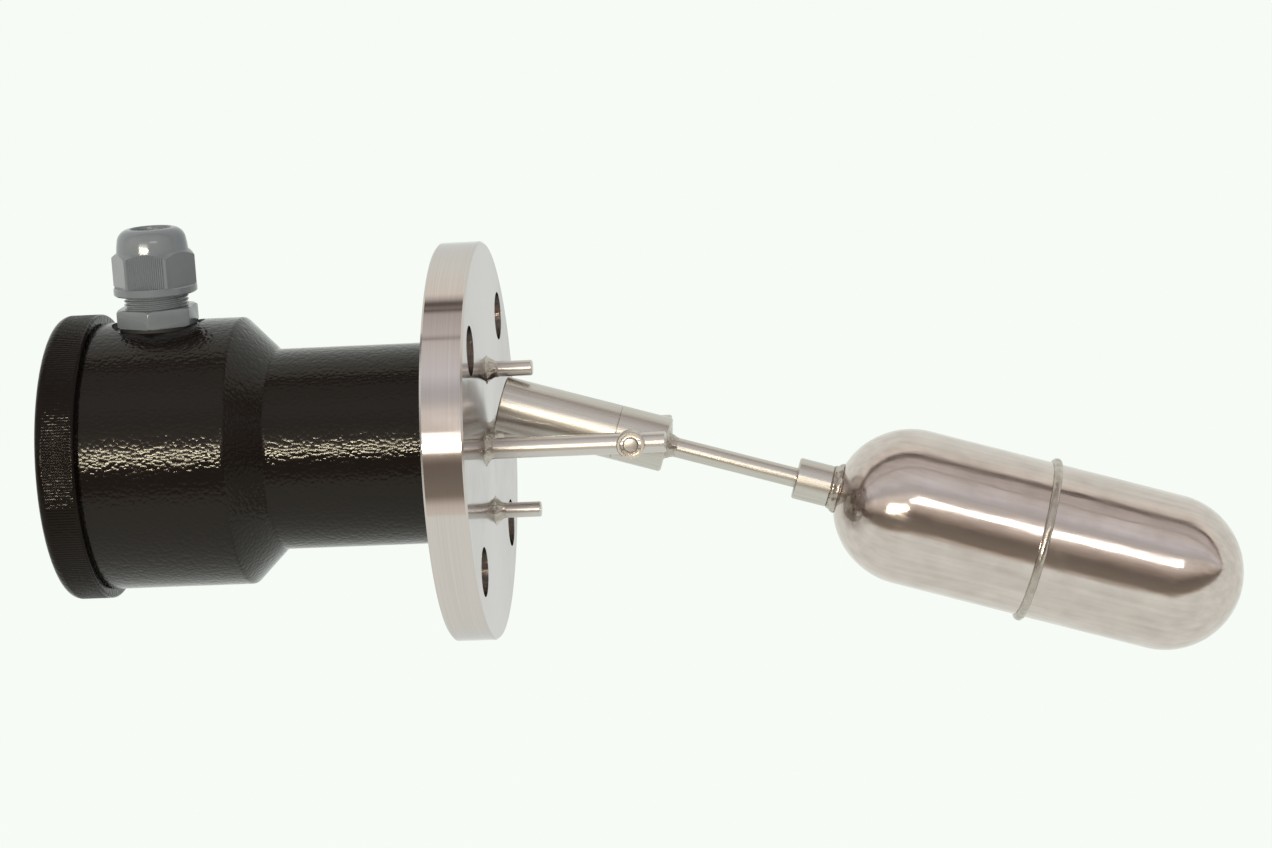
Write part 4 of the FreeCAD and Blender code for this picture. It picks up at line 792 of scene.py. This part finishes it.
def build_stop_pins():
    """Both stop pins with chamfered ends."""
    for name in ("upper", "lower"):
        node = name + "_stop_pin"
        spot = middle(node)
        build_round(node + "_turned", node, Vector((0, spot.y, spot.z)), AXIS, (0.1 * MM, 0.4 * MM), "bar",
                    "switch_body", "stainless", sides=48)


# ---------------------------------------------------------------- the float


def build_float_half(name, node, end, seam):
    """One half of the float, from its seam to the middle of its domed end."""
    inset = 0.22 * MM          # keeps this rounder shell inside the box of the CAD's faceted one
    radius = reach(node, ARM_ROOT, ARM)[2] - inset
    side = 1 if end > seam else -1
    start = end - side * radius
    runs = 8
    bends = 36
    points = [(seam + (start - seam) * step / runs, radius) for step in range(runs + 1)]
    for step in range(1, bends):
        angle = math.radians(90 * step / bends)
        points.append((start + side * radius * math.sin(angle), radius * math.cos(angle)))
    points.append((end, 0.0))
    shell = turned(name, points, sides=160)
    finish_mesh(shell, smooth_angle=40)
    place(shell, ARM_ROOT, ARM)
    dress(shell, "mirror", "float_arm", "polished_stainless", node)


def build_float():
    """Both halves of the float, the bead round their seam and the weld at the socket."""
    inner_low, inner_high, _ = reach("float_inner_half", ARM_ROOT, ARM)
    outer_low, outer_high, radius = reach("float_outer_half", ARM_ROOT, ARM)
    seam = (inner_high + outer_low) / 2
    build_float_half("float_shell_inner", "float_inner_half", inner_low, seam)
    build_float_half("float_shell_outer", "float_outer_half", outer_high, seam)
    half_wide = 1.65 * MM
    proud = 1.75 * MM
    under = radius - 0.3 * MM
    fullness = 0.8
    steps = 12
    start, end = seam - half_wide, seam + half_wide
    outline = [(start, under), (start, radius)]
    for step in range(1, steps):
        angle = math.radians(180 * step / steps)
        outline.append((seam - half_wide * math.cos(angle), radius + proud * math.sin(angle) ** fullness))
    outline += [(end, radius), (end, under), (start, under)]
    bead = turned("float_seam_bead", outline, sides=360)
    place(bead, ARM_ROOT, ARM)
    roughen(bead, size=4.0 * MM, depth=0.3 * MM)
    finish_mesh(bead, smooth_angle=80)
    dress(bead, "weld", "float_arm", "weld", "seam_weld")
    low, high, weld_radius = reach("socket_weld", ARM_ROOT, ARM)
    inner = 6.0 * MM
    half = (high - low) / 2
    outline = [(low, inner), (low, 8.2 * MM), (low + half * 0.7, 8.5 * MM),
               (low + half, weld_radius - 0.7 * MM), (high - 0.3 * MM, weld_radius),
               (high, weld_radius - 0.2 * MM), (high, inner), (low, inner)]
    weld = turned("socket_weld_bead", outline)
    bpy.ops.mesh.subdivide(number_cuts=1)
    place(weld, ARM_ROOT, ARM)
    roughen(weld, size=2.0 * MM, depth=0.7 * MM)
    finish_mesh(weld, smooth_angle=80)
    dress(weld, "weld", "float_arm", "weld", "socket_weld")


build_cap()
build_gland_nut()
build_gland_body()
build_pivot_bar("near", -1)
build_pivot_bar("far", 1)
build_pivot_pin()
build_stop_pins()
build_flange_welds()
build_arm()
build_float()

# ---------------------------------------------------------------- room, light and camera

# What polished metal sees, by the angle round the flange's axis: 0 is straight ahead of the near
# side, 90 is overhead, 180 is behind. Pale board behind and below, a grey room in front, and narrow
# dark bars overhead at 72, 91 and 96 degrees.
ROOM_BANDS = [(-180, PALE), (-156, "e6e6e1"), (-145, "cccac5"), (-128, "bebab4"), (-100, "e8e5de"),
              (-84, "dedbd4"), (-60, "eeeae3"), (-36, "f9f5ec"), (-25, "e0d8cc"), (-20, "8f8476"),
              (-14, "8a8176"), (-7, "80776d"), (-1, "7b7067"), (4, "a3968b"), (10, "cabfb4"),
              (16, "ebe2d8"), (28, "f6f1ea"), (34, "d6d4d2"), (40, "cfd0d2"), (50, "ebebee"),
              (64, "e6e3e1"), (71.2, "ddd8d4"), (72.2, "4e4440"), (73.4, "ddd8d4"), (89.5, "c9c3bf"),
              (91, "3c322e"), (93, "a49a94"), (96.5, "3c322e"), (100, "ccc5be"), (104, "fbf6ec"),
              (130, PALE), (180, PALE)]


def build_world():
    """The world: a pale board to the camera, the room's bands in reflections, one level of light."""
    world = bpy.data.worlds.new("studio")
    bpy.context.scene.world = world
    world.use_nodes = True
    tree = world.node_tree
    tree.nodes.clear()
    direction = add(tree, "ShaderNodeTexCoord").outputs["Generated"]
    parts = add(tree, "ShaderNodeSeparateXYZ", {0: direction})
    ahead = add(tree, "ShaderNodeMath", {0: parts.outputs["Y"], 1: -1.0}, operation="MULTIPLY")
    angle = add(tree, "ShaderNodeMath", {0: parts.outputs["Z"], 1: ahead.outputs[0]}, operation="ARCTAN2")
    share = add(tree, "ShaderNodeMapRange", {"Value": angle.outputs[0], "From Min": -math.pi,
                                             "From Max": math.pi})
    ramp = add(tree, "ShaderNodeValToRGB", {0: share.outputs["Result"]})
    elements = ramp.color_ramp.elements
    while len(elements) < len(ROOM_BANDS):
        elements.new(1.0)
    for element, (degrees, hex_code) in zip(elements, ROOM_BANDS):
        element.position = (degrees + 180) / 360
        element.color = colour(hex_code)
    path = add(tree, "ShaderNodeLightPath")
    plain = add(tree, "ShaderNodeBackground", {"Color": colour("d6d6d6"), "Strength": 1.0})
    room = add(tree, "ShaderNodeBackground", {"Color": ramp.outputs["Color"], "Strength": 1.0})
    board = add(tree, "ShaderNodeBackground", {"Color": colour(PALE), "Strength": 1.0})
    reflected = add(tree, "ShaderNodeMixShader", {0: path.outputs["Is Glossy Ray"], 1: plain.outputs[0],
                                                  2: room.outputs[0]})
    through = add(tree, "ShaderNodeMath", {0: path.outputs["Is Camera Ray"],
                                           1: path.outputs["Is Transmission Ray"]}, operation="MAXIMUM")
    shown = add(tree, "ShaderNodeMixShader", {0: through.outputs[0], 1: reflected.outputs[0],
                                              2: board.outputs[0]})
    add(tree, "ShaderNodeOutputWorld", {"Surface": shown.outputs[0]})


def build_floor():
    """A plain pale board well below the object, lit by itself and keeping a faint shadow."""
    clear_selection()
    front = -0.8
    depth = 30.0
    drop = -0.45
    shadow_share = 0.02
    bpy.ops.mesh.primitive_plane_add(size=depth, location=(0, front + depth / 2, drop))
    floor = start_editing("floor")
    bpy.ops.mesh.subdivide(number_cuts=3)
    clear_selection()
    material = bpy.data.materials.new("pale_board")
    material.use_nodes = True
    tree = material.node_tree
    tree.nodes.clear()
    lit = add(tree, "ShaderNodeBsdfDiffuse", {"Color": colour("eef0ec")})
    white = add(tree, "ShaderNodeEmission", {"Color": colour(PALE), "Strength": 1.0})
    faint = add(tree, "ShaderNodeMixShader", {0: shadow_share, 1: white.outputs[0], 2: lit.outputs[0]})
    path = add(tree, "ShaderNodeLightPath")
    seen = add(tree, "ShaderNodeMath", {0: path.outputs["Is Camera Ray"], 1: path.outputs["Is Glossy Ray"]},
               operation="MAXIMUM")
    seen = add(tree, "ShaderNodeMath", {0: seen.outputs[0], 1: path.outputs["Is Transmission Ray"]},
               operation="MAXIMUM")
    mixed = add(tree, "ShaderNodeMixShader", {0: seen.outputs[0], 1: lit.outputs[0], 2: faint.outputs[0]})
    add(tree, "ShaderNodeOutputMaterial", {"Surface": mixed.outputs[0]})
    floor.data.materials.append(material)


def build_lamp(name, where, size, strength, warmth):
    """A soft box that faces the object's middle."""
    faced = Vector((0.05, 0, 0))
    lamp = bpy.data.lights.new(name, "AREA")
    lamp.shape = "RECTANGLE"
    lamp.size, lamp.size_y = size
    lamp.energy = strength
    lamp.color = colour(warmth)[:3]
    holder = bpy.data.objects.new(name, lamp)
    bpy.context.scene.collection.objects.link(holder)
    holder.location = where
    holder.rotation_mode = "QUATERNION"
    holder.rotation_quaternion = (faced - Vector(where)).to_track_quat("-Z", "Y")


def build_camera():
    """The camera, set by its turn, drop and roll round the point that it looks at."""
    turn, drop, roll = math.radians(-5.09), math.radians(10.65), math.radians(3.31)
    aim = Vector((56.71 * MM, 0, 4.09 * MM))
    distance = 1199.1 * MM
    look = Vector((math.sin(turn) * math.cos(drop), math.cos(turn) * math.cos(drop), -math.sin(drop)))
    camera = bpy.data.cameras.new("camera")
    camera.lens = 87.62
    camera.sensor_width = 36.0
    camera.dof.use_dof = False
    holder = bpy.data.objects.new("camera", camera)
    bpy.context.scene.collection.objects.link(holder)
    holder.location = aim - look * distance
    holder.rotation_mode = "QUATERNION"
    holder.rotation_quaternion = look.to_track_quat("-Z", "Y") @ Quaternion((0, 0, 1), -roll)
    bpy.context.scene.camera = holder


build_world()
build_floor()
build_lamp("left_window", (-0.85, -2.9, 0.57), size=(1.5, 0.6), strength=4.4, warmth="fffcf6")
build_lamp("left_window_sill", (-0.85, -2.88, 0.44), size=(1.5, 0.13), strength=44, warmth="fdf6de")
build_lamp("right_window", (0.85, -2.9, 1.16), size=(1.5, 0.44), strength=6.5, warmth="fffcf6")
build_camera()
bpy.context.scene.view_settings.view_transform = "Standard"
